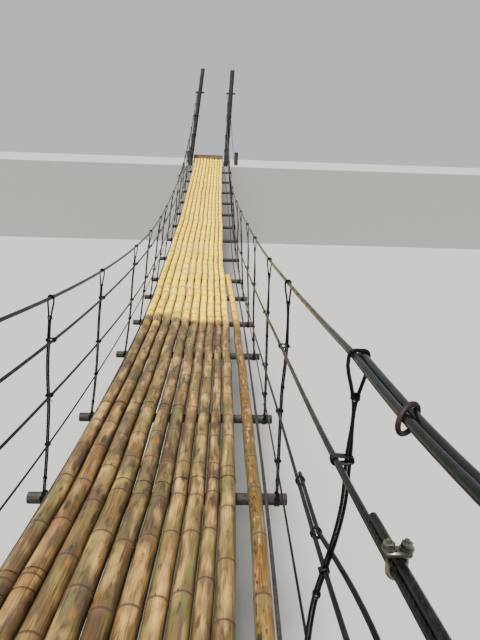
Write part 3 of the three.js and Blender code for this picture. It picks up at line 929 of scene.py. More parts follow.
for third in THIRDS:
    node = f"crossbeams_{third}_on_bearer_cables"
    shell = Shell()
    for number, (owner, group) in enumerate(beam_groups):
        if owner != third:
            continue
        low_x, high_x = group[:, 0].min(), group[:, 0].max()
        end_vertices = group[group[:, 0] < low_x + 0.01]
        spot = middle(end_vertices)
        z = spot.z + np.ptp(end_vertices[:, 2]) / 2 - LOG_RADIUS
        add_log(shell, Vector((low_x + LOG_SHORTER, spot.y, z)),
                Vector((high_x - LOG_SHORTER, spot.y, z)), LOG_RADIUS, LOG_RADIUS, number,
                BEAM_LUMPS)
    for side in (-1, 1):
        shell.tube(smooth_path(bearer_spots(groups(node), side), 0.12), BEARER_RADIUS, 10)
    make_piece(f"crossbeams_{third}", shell, dark_log, [node])
print("crossbeam logs", 2000 * LOG_RADIUS, "mm thick")

# %% [markdown]
# ## Wire that holds the poles down
#
# Thin wire runs over a few poles at a time and is drawn down between them, at the crossbeams
# and here and there between two of them. A curve could be laid over the poles and shrunk onto
# them with a modifier. Here the wire is calculated, because its course needs no more than the
# middle and the radius of each culm that it crosses. The closest wire is put where the photo
# shows it: its pixel is looked up on a culm's path, as other pixels are later on the ropes.

# %% Places that are read from the photo
def pixel_of(point):
    """The place in the photo, in pixels, of a point of the bridge."""
    ray = Vector(point) - EYE
    depth = ray.dot(forward)
    return (PHOTO_WIDTH / 2 + LENS_PX * ray.dot(right) / depth,
            PHOTO_HEIGHT / 2 + LENS_PX * ray.dot(down) / depth)


def point_at_pixel(path, pixel):
    """The index of the path's point that the photo shows nearest to a pixel."""
    ahead = [i for i, p in enumerate(path) if (Vector(p) - EYE).dot(forward) > 0.2]
    return min(ahead, key=lambda i: math.dist(pixel_of(path[i]), pixel))


def finely(path, parts=12):
    """The same path with its points closer together."""
    return [a.lerp(b, k / parts) for a, b in zip(path, path[1:]) for k in range(parts)]


print("the last crossbeam is at pixel", [round(v) for v in pixel_of(beam_path[-1])])

# %% Where each row's culm lies
row_paths = []
for row in range(row_count):
    spots = []
    for name in (n for n in pole_names if n.endswith(f"{row + 1:02d}")):
        for group in groups(name):
            centre = culm_centre(row, middle(group), half_width(group))
            radius = half_width(group) * culm_share(centre.y)
            spots.append((centre.y, centre.x, centre.z, radius))
    row_paths.append(np.array(sorted(spots)))


def culm_at(row, y):
    """The middle of a row's culm at a place along the bridge, and its radius."""
    path = row_paths[row]
    x, z, radius = (interpolated(y, path[:, 0], path[:, k]) for k in (1, 2, 3))
    return Vector((x, y, z)), radius


print("the first row's culm is", round(2000 * culm_at(0, beam_ys[8])[1]), "mm thick at a beam")

# %% Wire over the poles
LASH_WIRE = 0.0016             # metres, the wire's radius
LASH_DIP = math.radians(38)    # how far down a culm's side the wire lies, from level
LASH_END = math.pi * 0.08      # how far its ends go round below the outer culms' middles
LASH_STEPS = 8                 # straight parts of the wire over one culm
LASH_CHANCE = 0.7              # that a run of poles is wired at a beam
LASH_STRAY, LASH_SKEW = 0.03, 0.01     # metres off the beam, and along the bridge for a row
NEAR_LASH_PIXEL = (30, 594)    # the wire that the photo shows closest
SECOND_LASH = 0.12             # metres from it to the one before it


def add_lashing(shell, first_row, last_row, y, skew):
    """A wire over the culms of some rows. skew is how far it runs along the bridge a row."""
    points = []
    for row in range(first_row, last_row + 1):
        centre, radius = culm_at(row, y + skew * (row - first_row))
        start = math.pi + LASH_END if row == first_row else math.pi - LASH_DIP
        stop = -LASH_END if row == last_row else LASH_DIP
        for k in range(LASH_STEPS + 1):
            angle = start + (stop - start) * k / LASH_STEPS
            reach = radius * 1.03 + LASH_WIRE
            points.append(centre + Vector((math.cos(angle), 0, math.sin(angle))) * reach)
    shell.tube(points, LASH_WIRE, 6)


lashings = Shell()
pick = random.Random(23)
for beam_y in beam_ys:
    row = pick.randrange(0, 3)
    while row < row_count - 1:
        last_row = min(row_count - 1, row + pick.randrange(1, 4))
        if pick.random() < LASH_CHANCE:
            add_lashing(lashings, row, last_row, beam_y + pick.uniform(-LASH_STRAY, LASH_STRAY),
                        pick.uniform(-LASH_SKEW, LASH_SKEW))
        row = last_row + 1
left_row = [culm_at(0, y)[0] for y in np.arange(8.0, 12.0, 0.02)]
near_y = left_row[point_at_pixel(left_row, NEAR_LASH_PIXEL)].y
add_lashing(lashings, 0, 1, near_y, 0.012)
add_lashing(lashings, 0, 1, near_y - SECOND_LASH, 0.02)
make_piece("pole_lashings", lashings, wire_rope)
print("the closest wire lies at y", round(near_y, 2))

# %% [markdown]
# ## Main cables and side ropes
#
# A main cable runs from a stake, over a peg in its post, down and along the bridge, and up to
# the other bank. It is made of three lengths. Where two of them lap, they lie close together,
# and sag a little between their hangers, for there the weight is double. Three ropes a side
# make the railing. A simulation could let the cables hang, but the CAD model already says
# where they do, so their paths are read from it and changed only where two lengths lap.
# First comes where all of these run, because the hangers need both.

# %% Where the cables and the ropes run
MAIN_RADIUS = 0.0088
STRAND_RADIUS = 0.0046
CABLE_DEPTH = 0.036        # metres below its group's top where a cable's own vertices lie
PATH_STEP = 0.06           # metres from one ring of a cable's vertices to the next
LAP_CLOSE = 2.03           # radii between the middles of two lapped lengths
LAP_BLEND = 0.4            # metres over which a length leaves the other one again
LAP_SAG = 0.018            # metres that a doubled stretch hangs lower in its middle
LAP_END = 0.03             # metres by which a length's end passes its last hanger
ROPE_SHARE = {"upper": 0.8, "middle": 0.9, "lower": 0.95}      # of the CAD rope's radius
SIDES = ("left", "right")


def cable_path(node):
    """The path of a main cable, from the topmost vertices of each group."""
    spots = [middle(group[group[:, 2] > group[:, 2].max() - CABLE_DEPTH])
             for group in groups(node)]
    return smooth_path(spots, PATH_STEP)


cable_paths, laps_between = {}, {}
for side in SIDES:
    paths = [cable_path(f"main_cable_{side}_{part}_with_hangers") for part in THIRDS]
    for end, bank in ((0, "near"), (2, "far")):
        low = max(paths[1][0].y, paths[end][0].y)
        high = min(paths[1][-1].y, paths[end][-1].y)
        first, last = [y for y in beam_ys if low < y < high]
        apart = at_y(paths[1], first).x - at_y(paths[end], first).x
        shift = apart - math.copysign(LAP_CLOSE * MAIN_RADIUS, apart)
        for point in paths[end]:
            outside = max(0.0, low - point.y, point.y - high)
            point.x += shift * max(0.0, 1 - outside / LAP_BLEND)
        for point in paths[1] + paths[end]:
            share = min(1.0, max(0.0, (point.y - first) / (last - first)))
            point.z -= LAP_SAG * math.sin(math.pi * share)
        laps_between[side, bank] = (first, last)
    near_end, far_end = laps_between[side, "near"][1], laps_between[side, "far"][0]
    paths[0] = [p for p in paths[0] if p.y < near_end + LAP_END]
    paths[2] = [p for p in paths[2] if p.y > far_end - LAP_END]
    for part, path in zip(THIRDS, paths):
        cable_paths[side, part] = path

ROPE_NAMES = [f"side_rope_{side}_{height}" for side in SIDES for height in ROPE_SHARE]
rope_paths, rope_radii = {}, {}
for name in ROPE_NAMES:
    parts = groups(name)
    share = ROPE_SHARE[name.rsplit("_", 1)[1]]
    rope_radii[name] = share * half_width(parts[len(parts) // 2])
    rope_paths[name] = smooth_path([middle(p) for p in parts], PATH_STEP)
print("ropes are", [round(2000 * r, 1) for r in rope_radii.values()], "mm thick")

# %% [markdown]
# ### Turns of wire
#
# A binding is wire wound round and round. Blender's screw modifier makes such a coil round one
# of the axes. The bridge needs coils round slanting hangers, posts and beams, so a function
# gives the points of a coil round any axis, and the shell's tube does the rest.

# %% A coil
def helix(centre, axis, radius, turns, length, start=0.0, steps=14):
    """Points of a coil round an axis through a centre, with some steps in each turn."""
    axis = Vector(axis).normalized()
    across = axis.orthogonal().normalized()
    up = axis.cross(across)
    count = max(3, round(turns * steps))
    out = []
    for k in range(count + 1):
        angle = start + 2 * math.pi * turns * k / count
        out.append(Vector(centre) + axis * length * (k / count - 0.5)
                   + (across * math.cos(angle) + up * math.sin(angle)) * radius)
    return out


print("a coil of 3 turns has", len(helix((0, 0, 0), (0, 0, 1), 1.0, 3, 1.0)), "points")

# %% [markdown]
# ### Hangers
#
# Every crossbeam hangs on the main cables by loops of thinner cable. A loop goes over the main
# cable, its two strands are bound together a hand's breadth below, and go down side by side to
# the beam, where they turn round its end. On the way the side ropes are tied to the strands
# and draw them a little to one side, so a hanger is never quite straight.
#
# One hanger could be copied to all beams, but each is as long as the sag asks for and is drawn
# aside by its own ropes. So the outline of a hanger is laid out flat, in x across its strands
# and z up from the main cable, and then bent to its own place.

# %% A hanger's outline, laid out flat
BOUND_DROP = 0.10          # metres from the main cable down to where the strands are bound
LOOSE_SHARES = (0.995, 0.85, 0.65, 0.5, 0.3)       # of its length, where its outline may bend
ARCH_POINTS = 12           # of the half circle that sits on the cable
NECK = ((0.68, 0.06), (1.05, 0.022))       # shares of its half width, and metres below the cable


def hanger_outline(length, half_apart, hold_shares):
    """Points of a hanger's one strand from the beam up, its arch, and its other strand down.

    half_apart is half of the distance between the two cables in its loop.
    """
    gauge = MAIN_RADIUS + STRAND_RADIUS
    arch = []
    for k in range(ARCH_POINTS):
        angle = math.pi * k / (ARCH_POINTS - 1)
        aside = -half_apart if k < ARCH_POINTS / 2 else half_apart
        arch.append((aside - gauge * math.cos(angle), gauge * math.sin(angle)))
    # Below the cable the strands close in on each other
    wide = gauge + half_apart
    neck = [(-1.1 * STRAND_RADIUS, -BOUND_DROP)]
    neck += [(-share * wide, -drop) for share, drop in NECK]
    shares = sorted([*LOOSE_SHARES, *hold_shares], reverse=True)
    strand = [(-STRAND_RADIUS * 1.03, -length * share) for share in shares
              if share * length > BOUND_DROP + 0.02]
    one_side = strand + neck
    return one_side + arch + [(-x, z) for x, z in reversed(one_side)]


print("the outline of a hanger 1 m long has", len(hanger_outline(1.0, 0.0, [])), "points")

# %% A hanger in its place
UPPER_HALF, LOWER_FROM = 0.5, 0.36     # shares of its length that the two bows go down to or from
OUTLINE_STEP = 0.02        # metres
MIDDLE_BOUND = (0.45, 0.55)        # shares of its length between which the middle binding sits
FOOT_BOUND = 0.09          # metres above its foot where the lowest binding sits
BINDING_RADIUS, BINDING_WIRE = STRAND_RADIUS * 2.2, STRAND_RADIUS * 0.36
END_OUT, TIP_OUT, TIP_DROP = 0.008, 0.010, 0.009   # metres, for a binding's cut end
WRAP_TURNS = 3.5           # round the beam's end
WRAP_RADIUS = STRAND_RADIUS * 0.8
WRAP_PITCH = 2.05          # radii from one turn to the next


def add_binding(shell, centre, axis, turns, radius, wire, pick):
    """Turns of a strand round a hanger, with a cut end that stands off."""
    shell.tube(helix(centre, axis, radius, turns, 2 * wire * turns), wire, 6)
    away = Vector((pick.uniform(-1, 1), pick.uniform(-1, 1), -0.6)).normalized()
    shell.tube([centre + away * radius * 0.6, centre + away * (radius + END_OUT),
                centre + away * (radius + TIP_OUT) - Vector((0, 0, TIP_DROP))], wire, 6)


def add_hanger(shell, top, foot, holds, pick, bows, cables_apart=0.0):
    """A loop over the main cable, bound below it, whose strands turn round the beam's end.

    holds are the places where ropes draw it aside. bows is how far it bows out above and below
    its middle. cables_apart is the distance to a second cable beside the first in the loop.
    """
    fall = (foot - top).normalized()
    length = (foot - top).length
    sideways = Vector((0, 1, 0))
    sideways = (sideways - fall * sideways.dot(fall)).normalized()
    outward = fall.cross(sideways)
    outline = hanger_outline(length, abs(cables_apart) / 2, [share for share, _, _ in holds])
    pull_shares = [0.0] + [share for share, _, _ in holds] + [1.0]
    pulls = [cables_apart / 2] + [pull for _, pull, _ in holds] + [0.0]

    def hung(x, z):
        """A point of the hanger, x across its two strands and z up from the main cable."""
        share = max(0.0, -z / length)
        bend = bows[0] * math.sin(2 * math.pi * min(UPPER_HALF, share))
        bend += bows[1] * math.sin(math.pi * max(0.0, share - LOWER_FROM) / (1 - LOWER_FROM))
        outer = 1 if top.x > 0 else -1
        drawn = interpolated(share, pull_shares, pulls) + outer * bend
        return top + outward * x - fall * z + Vector((drawn, 0, 0))

    shell.tube(smooth_path([hung(x, z) for x, z in outline], OUTLINE_STEP), STRAND_RADIUS, 8,
               pick.random())
    for drop, turns in ((BOUND_DROP, 4), (length * pick.uniform(*MIDDLE_BOUND), 3),
                        (length - FOOT_BOUND, 4)):
        add_binding(shell, hung(0, -drop), fall, turns, BINDING_RADIUS, BINDING_WIRE, pick)
    beam_middle = Vector((foot.x, foot.y, foot.z - LOG_RADIUS))
    shell.tube(helix(beam_middle, (1, 0, 0), LOG_RADIUS + WRAP_RADIUS * 0.9, WRAP_TURNS,
                     WRAP_PITCH * WRAP_RADIUS * WRAP_TURNS, math.pi / 2), WRAP_RADIUS, 7)
    return [hung(0, -length * share) for share, _, _ in holds]


print("a hanger's strands are", round(2000 * STRAND_RADIUS, 1), "mm thick")

# %% Where the hangers hang and what holds them
HANGER_LEAST = 0.3         # metres, the height above which a group has a hanger in it
BEYOND_BEAMS = 0.3         # metres past the near bank or the last beam; posts stand further out
FOOT_DEPTH = 0.02          # metres above its group's bottom where a hanger's foot lies
HELD_SHARES = (0.02, 0.98) # of a hanger's length, between which a rope can hold it
PAIR_HALF = 2.05 * STRAND_RADIUS   # from the middle of the two strands to their side


def hanger_feet(side, part):
    """For each hanger of a main cable, its place on the cable and its foot on the beam."""
    ends = []
    for group in groups(f"main_cable_{side}_{part}_with_hangers"):
        along = group[:, 1].mean()
        over_deck = BEYOND_BEAMS < along < beam_ys[-1] + BEYOND_BEAMS
        if over_deck and np.ptp(group[:, 2]) > HANGER_LEAST:
            foot = middle(group[group[:, 2] < group[:, 2].min() + FOOT_DEPTH])
            ends.append((at_y(cable_paths[side, part], middle(group).y), foot))
    return ends


def holds_of(side, top, foot):
    """Where the ropes hold a hanger: the share of its length, how far they draw it, and which."""
    holds = []
    for name in (n for n in ROPE_NAMES if side in n):
        rope_spot = at_y(rope_paths[name], top.y)
        share = (top.z - rope_spot.z) / (top.z - foot.z)
        if HELD_SHARES[0] < share < HELD_SHARES[1]:
            straight = top.lerp(foot, share).x
            reach = math.copysign(rope_radii[name] + PAIR_HALF, straight - rope_spot.x)
            holds.append((share, rope_spot.x + reach - straight, name))
    return holds


print("hangers hang on the left near cable at y",
      [round(top.y, 1) for top, _ in hanger_feet("left", "near")])

# %% Cables with their hangers
CABLE_SIDES = 12
SLACK_MOST = 0.014         # metres by which a hanger may bow out
LOWER_BOW = (-0.01, 0.004) # metres, the same for its lower part
CLOSEST_BOW = (0.014, -0.045)      # the upper and lower bow of the hanger by the camera
CLOSEST_WITHIN = 0.1       # metres from the end of a lap, where that hanger stands
tie_places = []            # the rope, the rope's middle, the strands' middle
for number, ((side, part), path) in enumerate(cable_paths.items(), 1):
    shell = Shell()
    shell.tube(path, MAIN_RADIUS, CABLE_SIDES, number)
    pick = random.Random(number)
    feet = hanger_feet(side, part)
    for top, foot in feet:
        lapped = [other for other in THIRDS if other != part
                  and cable_paths[side, other][0].y < top.y < cable_paths[side, other][-1].y]
        apart = at_y(cable_paths[side, lapped[0]], top.y).x - top.x if lapped else 0.0
        from_lap = abs(top.y - laps_between["right", "near"][1])
        closest = side == "right" and from_lap < CLOSEST_WITHIN
        bows = CLOSEST_BOW if closest else (pick.uniform(0, SLACK_MOST), pick.uniform(*LOWER_BOW))
        holds = holds_of(side, top, foot)
        held = add_hanger(shell, top, foot, holds, pick, bows, apart)
        for (_, _, rope), spot in zip(holds, held):
            tie_places.append((rope, at_y(rope_paths[rope], top.y), spot))
    make_piece(f"main_cable_{side}_{part}", shell, black_cable,
               [f"main_cable_{side}_{part}_with_hangers"])
    print(side, part, "cable:", len(feet), "hangers")

# %% [markdown]
# ### Side ropes round the posts
#
# The ropes run from post to post, and are wound round each post. In the real bridge that is
# what holds them. A rope could go on into its turns as one tube, but it meets the leaning post
# at a different angle each time, so the turns are a coil of their own round the post's axis.

# %% Side ropes
WIND_TURNS = 2.6
WIND_PITCH = 2.3           # rope radii from one turn to the next
WIND_STEPS = 20            # in each turn
END_DEPTH = 0.01           # metres of a post's height that count as its foot or its top


def post_axis(name):
    """The middle of a post's foot and of its top, and its radius."""
    points = np.array([v.co[:] for v in nodes[name].data.vertices])
    foot = points[points[:, 2] < points[:, 2].min() + END_DEPTH]
    head = points[points[:, 2] > points[:, 2].max() - END_DEPTH]
    return middle(foot), middle(head), float(np.ptp(foot[:, 1])) / 2


for number, name in enumerate(ROPE_NAMES, 1):
    shell = Shell()
    path, rope_radius = rope_paths[name], rope_radii[name]
    shell.tube(path, rope_radius, 10, number)
    side = "left" if "left" in name else "right"
    for bank, end in (("near", path[0]), ("far", path[-1])):
        foot, head, post_radius = post_axis(f"post_{bank}_{side}")
        centre = foot.lerp(head, (end.z - foot.z) / (head.z - foot.z))
        wound = helix(centre, head - foot, post_radius + rope_radius, WIND_TURNS,
                      WIND_PITCH * rope_radius * WIND_TURNS, steps=WIND_STEPS)
        shell.tube(wound, rope_radius, 8)
    make_piece(name, shell, wire_rope, [name])
print(len(ROPE_NAMES), "ropes, each wound", WIND_TURNS, "times round its posts")

# %% [markdown]
# ### Ties
#
# A tie is a few turns of wire drawn tight round a rope and the two strands of a hanger, most
# of it dark, some of it new and pale. Round coils would stand off from what they hold. Drawn
# tight, the wire has the outline of a string round three circles, and for each direction that
# outline is the point of a circle that lies furthest that way.

# %% Ties between the ropes and the hangers
PALE_TIES = (14.5, 21.0)   # metres along the bridge where some ties are pale new wire
PALE_CHANCE = 0.5
PALE_WIRE, DARK_WIRE = 0.002, 0.0028       # metres, their radii
TIE_TURNS = 3
TIE_STEPS = 14             # in each turn
TIE_PITCH = 2.1            # wire radii from one turn to the next
TIE_TAIL = 0.016           # metres of its cut end


def add_tie(shell, rope_spot, rope_radius, strand_spot, wire, turns, pick):
    """Turns of wire drawn tight round a rope and a hanger's two strands, with a cut end."""
    axis = Vector((0, 1, 0))
    side = strand_spot - rope_spot
    side = (side - axis * side.dot(axis)).normalized()
    other = axis.cross(side)
    strand = STRAND_RADIUS + wire
    circles = ((rope_spot, rope_radius + wire), (strand_spot - side * STRAND_RADIUS, strand),
               (strand_spot + side * STRAND_RADIUS, strand))
    path = []
    for k in range(TIE_STEPS * turns + 1):
        angle = 2 * math.pi * k / TIE_STEPS
        facing = side * math.cos(angle) + other * math.sin(angle)
        centre, radius = max(circles, key=lambda circle: circle[0].dot(facing) + circle[1])
        along = wire * TIE_PITCH * (k / TIE_STEPS - turns / 2)
        path.append(centre + facing * radius + axis * along)
    away = Vector((pick.uniform(-1, 1), 0.3, -1.2)).normalized()
    path += [path[-1] + away * TIE_TAIL / 2, path[-1] + away * TIE_TAIL]
    shell.tube(path, wire, 6)


dark_ties, pale_ties = Shell(), Shell()
pick = random.Random(41)
for rope, rope_spot, strand_spot in tie_places:
    pale = PALE_TIES[0] < rope_spot.y < PALE_TIES[1] and pick.random() < PALE_CHANCE
    shell, wire = (pale_ties, PALE_WIRE) if pale else (dark_ties, DARK_WIRE)
    add_tie(shell, rope_spot, rope_radii[rope], strand_spot, wire, TIE_TURNS, pick)
make_piece("rope_ties_dark", dark_ties, black_wire)
make_piece("rope_ties_pale", pale_ties, tie_wire)
print(len(tie_places), "ties")

# %% [markdown]
# ## Laps, a clip and a ring
#
# On the right, close to the camera, two side ropes are made longer with a second length that
# lies along the first. It could be a copy of the rope's mesh moved aside, but it starts
# at its own place and stands off beyond its knot. So it is a tube along the rope's own path,
# moved aside. Its places are given in the photo's pixels and looked up on that path.

# %% Second lengths of the right-hand ropes
UPPER_LAP_PIXEL = (374, 515)
MIDDLE_LAP_PIXEL = (303, 471)
MIDDLE_KNOT_PIXEL = (320, 530)
LAP_REACH = 1.9            # metres from a lap's far end back towards the near bank
ROPES_CLOSE = 2.04         # radii between the middles of a rope and its second length
UPPER_LAP_SIDE, MIDDLE_LAP_SIDE = (0.3, 0, 0.954), (0.9, 0, 0.43)  # which way that one lies
SPREAD = 0.045             # metres by which the middle lap stands off beyond its knot
SPREAD_OVER, SPREAD_BACK = 0.5, 0.4        # metres in which it leaves the rope and comes back
KNOT_WIRE, KNOT_TURNS, KNOT_LENGTH = 0.0024, 2.5, 0.012    # radius, turns and metres along


def lap_path(path, start, reach, offset, spread_from=None):
    """A second length beside a rope, from one of its points back towards the near bank."""
    out, gone = [], 0.0
    for i in range(start, 0, -1):
        if gone > reach:
            break
        stand_off = 1.0
        if spread_from is not None and i < spread_from:
            after = (path[spread_from] - path[i]).length
            left = max(0.0, reach - (path[start] - path[i]).length)
            swing = math.sin(min(1, after / SPREAD_OVER) * math.pi / 2)
            stand_off += SPREAD / offset.length * swing * min(1, left / SPREAD_BACK)
        out.append(path[i] + offset * stand_off)
        gone += (path[i] - path[i - 1]).length
    return out


laps = Shell()
upper = rope_paths["side_rope_right_upper"]
upper_radius = rope_radii["side_rope_right_upper"]
upper_offset = Vector(UPPER_LAP_SIDE) * ROPES_CLOSE * upper_radius
upper_start = point_at_pixel(upper, UPPER_LAP_PIXEL)
laps.tube(lap_path(upper, upper_start, LAP_REACH, upper_offset), upper_radius, 12, 0.3)
middle_rope = rope_paths["side_rope_right_middle"]
middle_radius = rope_radii["side_rope_right_middle"]
middle_offset = Vector(MIDDLE_LAP_SIDE) * ROPES_CLOSE * middle_radius
middle_start = point_at_pixel(middle_rope, MIDDLE_LAP_PIXEL)
middle_knot = point_at_pixel(middle_rope, MIDDLE_KNOT_PIXEL)
laps.tube(lap_path(middle_rope, middle_start, LAP_REACH, middle_offset, middle_knot),
          middle_radius, 10, 0.6)
for place in (middle_start - 1, middle_knot):
    along_rope = (middle_rope[place + 1] - middle_rope[place - 1]).normalized()
    laps.tube(helix(middle_rope[place] + middle_offset / 2, along_rope,
                    middle_offset.length / 2 + middle_radius + 0.002, KNOT_TURNS,
                    KNOT_LENGTH), KNOT_WIRE, 6)
make_piece("rope_laps", laps, wire_rope)
print("laps start at y", round(upper[upper_start].y, 2), round(middle_rope[middle_start].y, 2))

# %% [markdown]
# ### The wire-rope clip
#
# The upper lap is held by a clip: a rod bent to a U goes round both ropes, and two nuts draw
# it up against a cast saddle. The saddle could be a cube with a bevel modifier. Here it is the
# hull of its corners, because a hull gives clean chamfers from a few numbers and stays small.
# Its zinc has gone dull, so to the eye it is a pale grey with a broad, soft shine and brown
# where rust comes through.

# %% A solid as the hull of its corners
def add_hull(shell, points, seed=0.0):
    """The convex hull of some points, for small forged and cast pieces."""
    mesh = bmesh.new()
    for point in points:
        mesh.verts.new(point)
    bmesh.ops.convex_hull(mesh, input=mesh.verts)
    kept = [v for v in mesh.verts if v.link_faces]
    index = {v: len(shell.points) + i for i, v in enumerate(kept)}
    for v in kept:
        shell.vertex(v.co.copy(), ring=FAR_FROM_RING, seed=seed)
    for face in mesh.faces:
        shell.faces.append(tuple(index[v] for v in face.verts))
    mesh.free()


def chamfered(centre, axes, half_sizes, chamfer):
    """The corners of a box with its edges cut off, along three directions."""
    corners = []
    for signs in itertools.product((-1, 1), repeat=3):
        for kept in range(3):
            sizes = [h - (0 if k == kept else chamfer) for k, h in enumerate(half_sizes)]
            corners.append(centre + sum((axis * sign * size for axis, sign, size
                                         in zip(axes, signs, sizes)), Vector()))
    return corners


cube_axes = [Vector(axis) for axis in ((1, 0, 0), (0, 1, 0), (0, 0, 1))]
print("a chamfered box has", len(chamfered(Vector(), cube_axes, (1, 1, 1), 0.1)), "corners")

# %% The clip in its place
CLIP_PIXEL = (394, 569)
CLIP_ROD = 0.0042
CLIP_GAP = 0.0138                          # from the clip's middle to the middle of each leg
BEND_STEPS = 12
THREAD = 0.0155                            # how far the bolt's ends stand above the saddle
SADDLE_HALF = (0.0205, 0.012, 0.005)       # across the ropes, along them, and up
SADDLE_CHAMFER = 0.003
WASHER = ((0, 0.0105), (0.003, 0.0105), (0.0031, 0.0118), (0.0048, 0.0118))    # height, radius
BOSS_SUNK = 0.002                          # how deep that profile starts in the saddle
NUT_RADIUS, NUT_HEIGHT = 0.0098, 0.0085
NUT_PROFILE = ((0, 0.94), (0.001, 1.0), (NUT_HEIGHT - 0.0014, 1.0), (NUT_HEIGHT, 0.86))


def add_clip(shell, centre, along_rope, up, reach):
    """A U bolt round a pair of ropes, with its saddle and two nuts on the side called up."""
    up = (up - along_rope * up.dot(along_rope)).normalized()
    across = along_rope.cross(up)
    drop = reach + CLIP_ROD - CLIP_GAP
    bend = []
    for k in range(BEND_STEPS + 1):
        angle = math.pi * k / BEND_STEPS
        bend.append(centre + across * CLIP_GAP * math.cos(angle)
                    - up * (drop + CLIP_GAP * math.sin(angle)))
    seat = reach + SADDLE_HALF[2]
    tips = [centre + across * CLIP_GAP * sign + up * (seat + SADDLE_HALF[2] + THREAD)
            for sign in (1, -1)]
    shell.tube([tips[0]] + bend + [tips[1]], CLIP_ROD, 12)
    add_hull(shell, chamfered(centre + up * seat, (across, along_rope, up), SADDLE_HALF,
                              SADDLE_CHAMFER))
    for sign in (-1, 1):
        # A boss under each nut with its washer, and the nut
        foot = centre + across * CLIP_GAP * sign + up * (seat + SADDLE_HALF[2] - BOSS_SUNK)
        shell.tube([foot + up * height for height, _ in WASHER],
                   [radius for _, radius in WASHER], 16)
        nut = foot + up * WASHER[-1][0]
        shell.tube([nut + up * height for height, _ in NUT_PROFILE],
                   [NUT_RADIUS * share for _, share in NUT_PROFILE], 6)


galvanised = cable_material("steel, galvanised casting gone dull",
                            ("#4c4b42", "#858274", "#b7b4a4"), "#5a4028", 0.36, 0.85)
clips = Shell()
fine = finely(upper)
spot = point_at_pixel(fine, CLIP_PIXEL)
rope_direction = (fine[spot + 1] - fine[spot - 1]).normalized()
add_clip(clips, fine[spot] + upper_offset / 2, rope_direction, Vector((0, 0, 1)),
         upper_offset.length / 2 + upper_radius)
make_piece("rope_clip", clips, galvanised)
print("clip at", [round(v, 2) for v in fine[spot]])

# %% [markdown]
# ### The rusty ring
#
# An oval ring of forged rod hangs from the main cable and has swung round a little. A torus
# from Blender's menu is round and lies flat, so it would need stretching and turning. A tube
# along an oval path is both at once. Its rust is matt and dark red-brown: it gives the eye
# hardly a highlight.

# %% The ring on the main cable
RING_PIXEL = (403, 415)
RING_ROD = 0.0045
RING_HALF = (0.0285, 0.0245)   # half of the ring's width and height
RING_TURN = math.radians(39)   # how far the ring has swung round from square to the cables
RING_DROP = 0.0065             # how far its middle hangs below the middle of the two cables
RING_STEPS = 32
rusty = cable_material("steel, forged and rusty", ("#0c0705", "#190f0b", "#2c1812"), "#432414",
                       0.75, 0.3)
ring = Shell()
fine = finely(cable_paths["right", "middle"])
spot = fine[point_at_pixel(fine, RING_PIXEL)]
hang = (spot + at_y(cable_paths["right", "near"], spot.y)) / 2 - Vector((0, 0, RING_DROP))
swung = Vector((math.cos(RING_TURN), math.sin(RING_TURN), 0))
loop = []
for k in range(RING_STEPS + 1):
    angle = 2 * math.pi * k / RING_STEPS
    loop.append(hang + swung * RING_HALF[0] * math.cos(angle)
                + Vector((0, 0, RING_HALF[1] * math.sin(angle))))
ring.tube(loop, RING_ROD, 10)
make_piece("rusty_ring", ring, rusty)
print("the ring hangs at", [round(v, 2) for v in hang])

# %% [markdown]
# ## Posts, sills, boards and stakes
#
# On each bank two leaning posts carry the main cables on pegs, and one of them is torn off at
# its top. A post could be sculpted from a cylinder. It is the same kind of round timber as the
# crossbeams, though, so the function for logs makes it, with less bark and the older, split
# surface. The cables end at stakes behind, which are logs as well.

# %% Posts with their pegs
TORN_TOP = 0.12            # metres that the longest splinters reach above the break
POST_SHARE, POST_TOP_SHARE = 0.985, 0.93   # of the CAD post's radius, at its foot and its top
POST_SHORTER = 0.012       # metres
POST_SIDES, POST_LUMPS = 20, 0.04
FAR_BARK = 7               # what gives the far posts another bark than the near ones
for bank in ("near", "far"):
    for side in SIDES:
        name = f"post_{bank}_{side}"
        foot, head, post_radius = post_axis(name)
        shell = Shell()
        seed = 3.0 + len(name) + (FAR_BARK if bank == "far" else 0)
        torn = TORN_TOP if name == "post_far_right" else 0.0
        add_log(shell, foot, head - (head - foot).normalized() * POST_SHORTER,
                post_radius * POST_SHARE, post_radius * POST_TOP_SHARE, seed, POST_LUMPS,
                POST_SIDES, torn)
        make_piece(name, shell, grey_post, [name])
        name = f"cable_peg_{bank}_{side}"
        low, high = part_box(name)
        centre = (low + high) / 2
        end = Vector((high.x, centre.y, centre.z))
        peg_radius = (high.z - low.z) / 2 * POST_SHARE
        shell = Shell()
        add_log(shell, 2 * centre - end, end, peg_radius, peg_radius, seed, POST_LUMPS)
        make_piece(name, shell, dark_log, [name])
print("the last post is", round((head - foot).length, 2), "m long")

# %% [markdown]
# ### Sills, threshold boards and stakes
#
# A sill lies across each bank, the deck poles end on it, and a sawn board is set against it.
# Both are square timbers with worn edges. A cube with a bevel would have edges as even as new
# ones. So a timber is built as a row of eight-sided sections, whose corners are worn back by a
# noise along its length.

# %% A square timber
EDGE_WEAR = 0.3            # how much of its bevel a timber's edge wears back
SECTION_STEP = 0.25        # metres from one section to the next
WEAR_WAVES = 6             # of the wear's noise in a metre


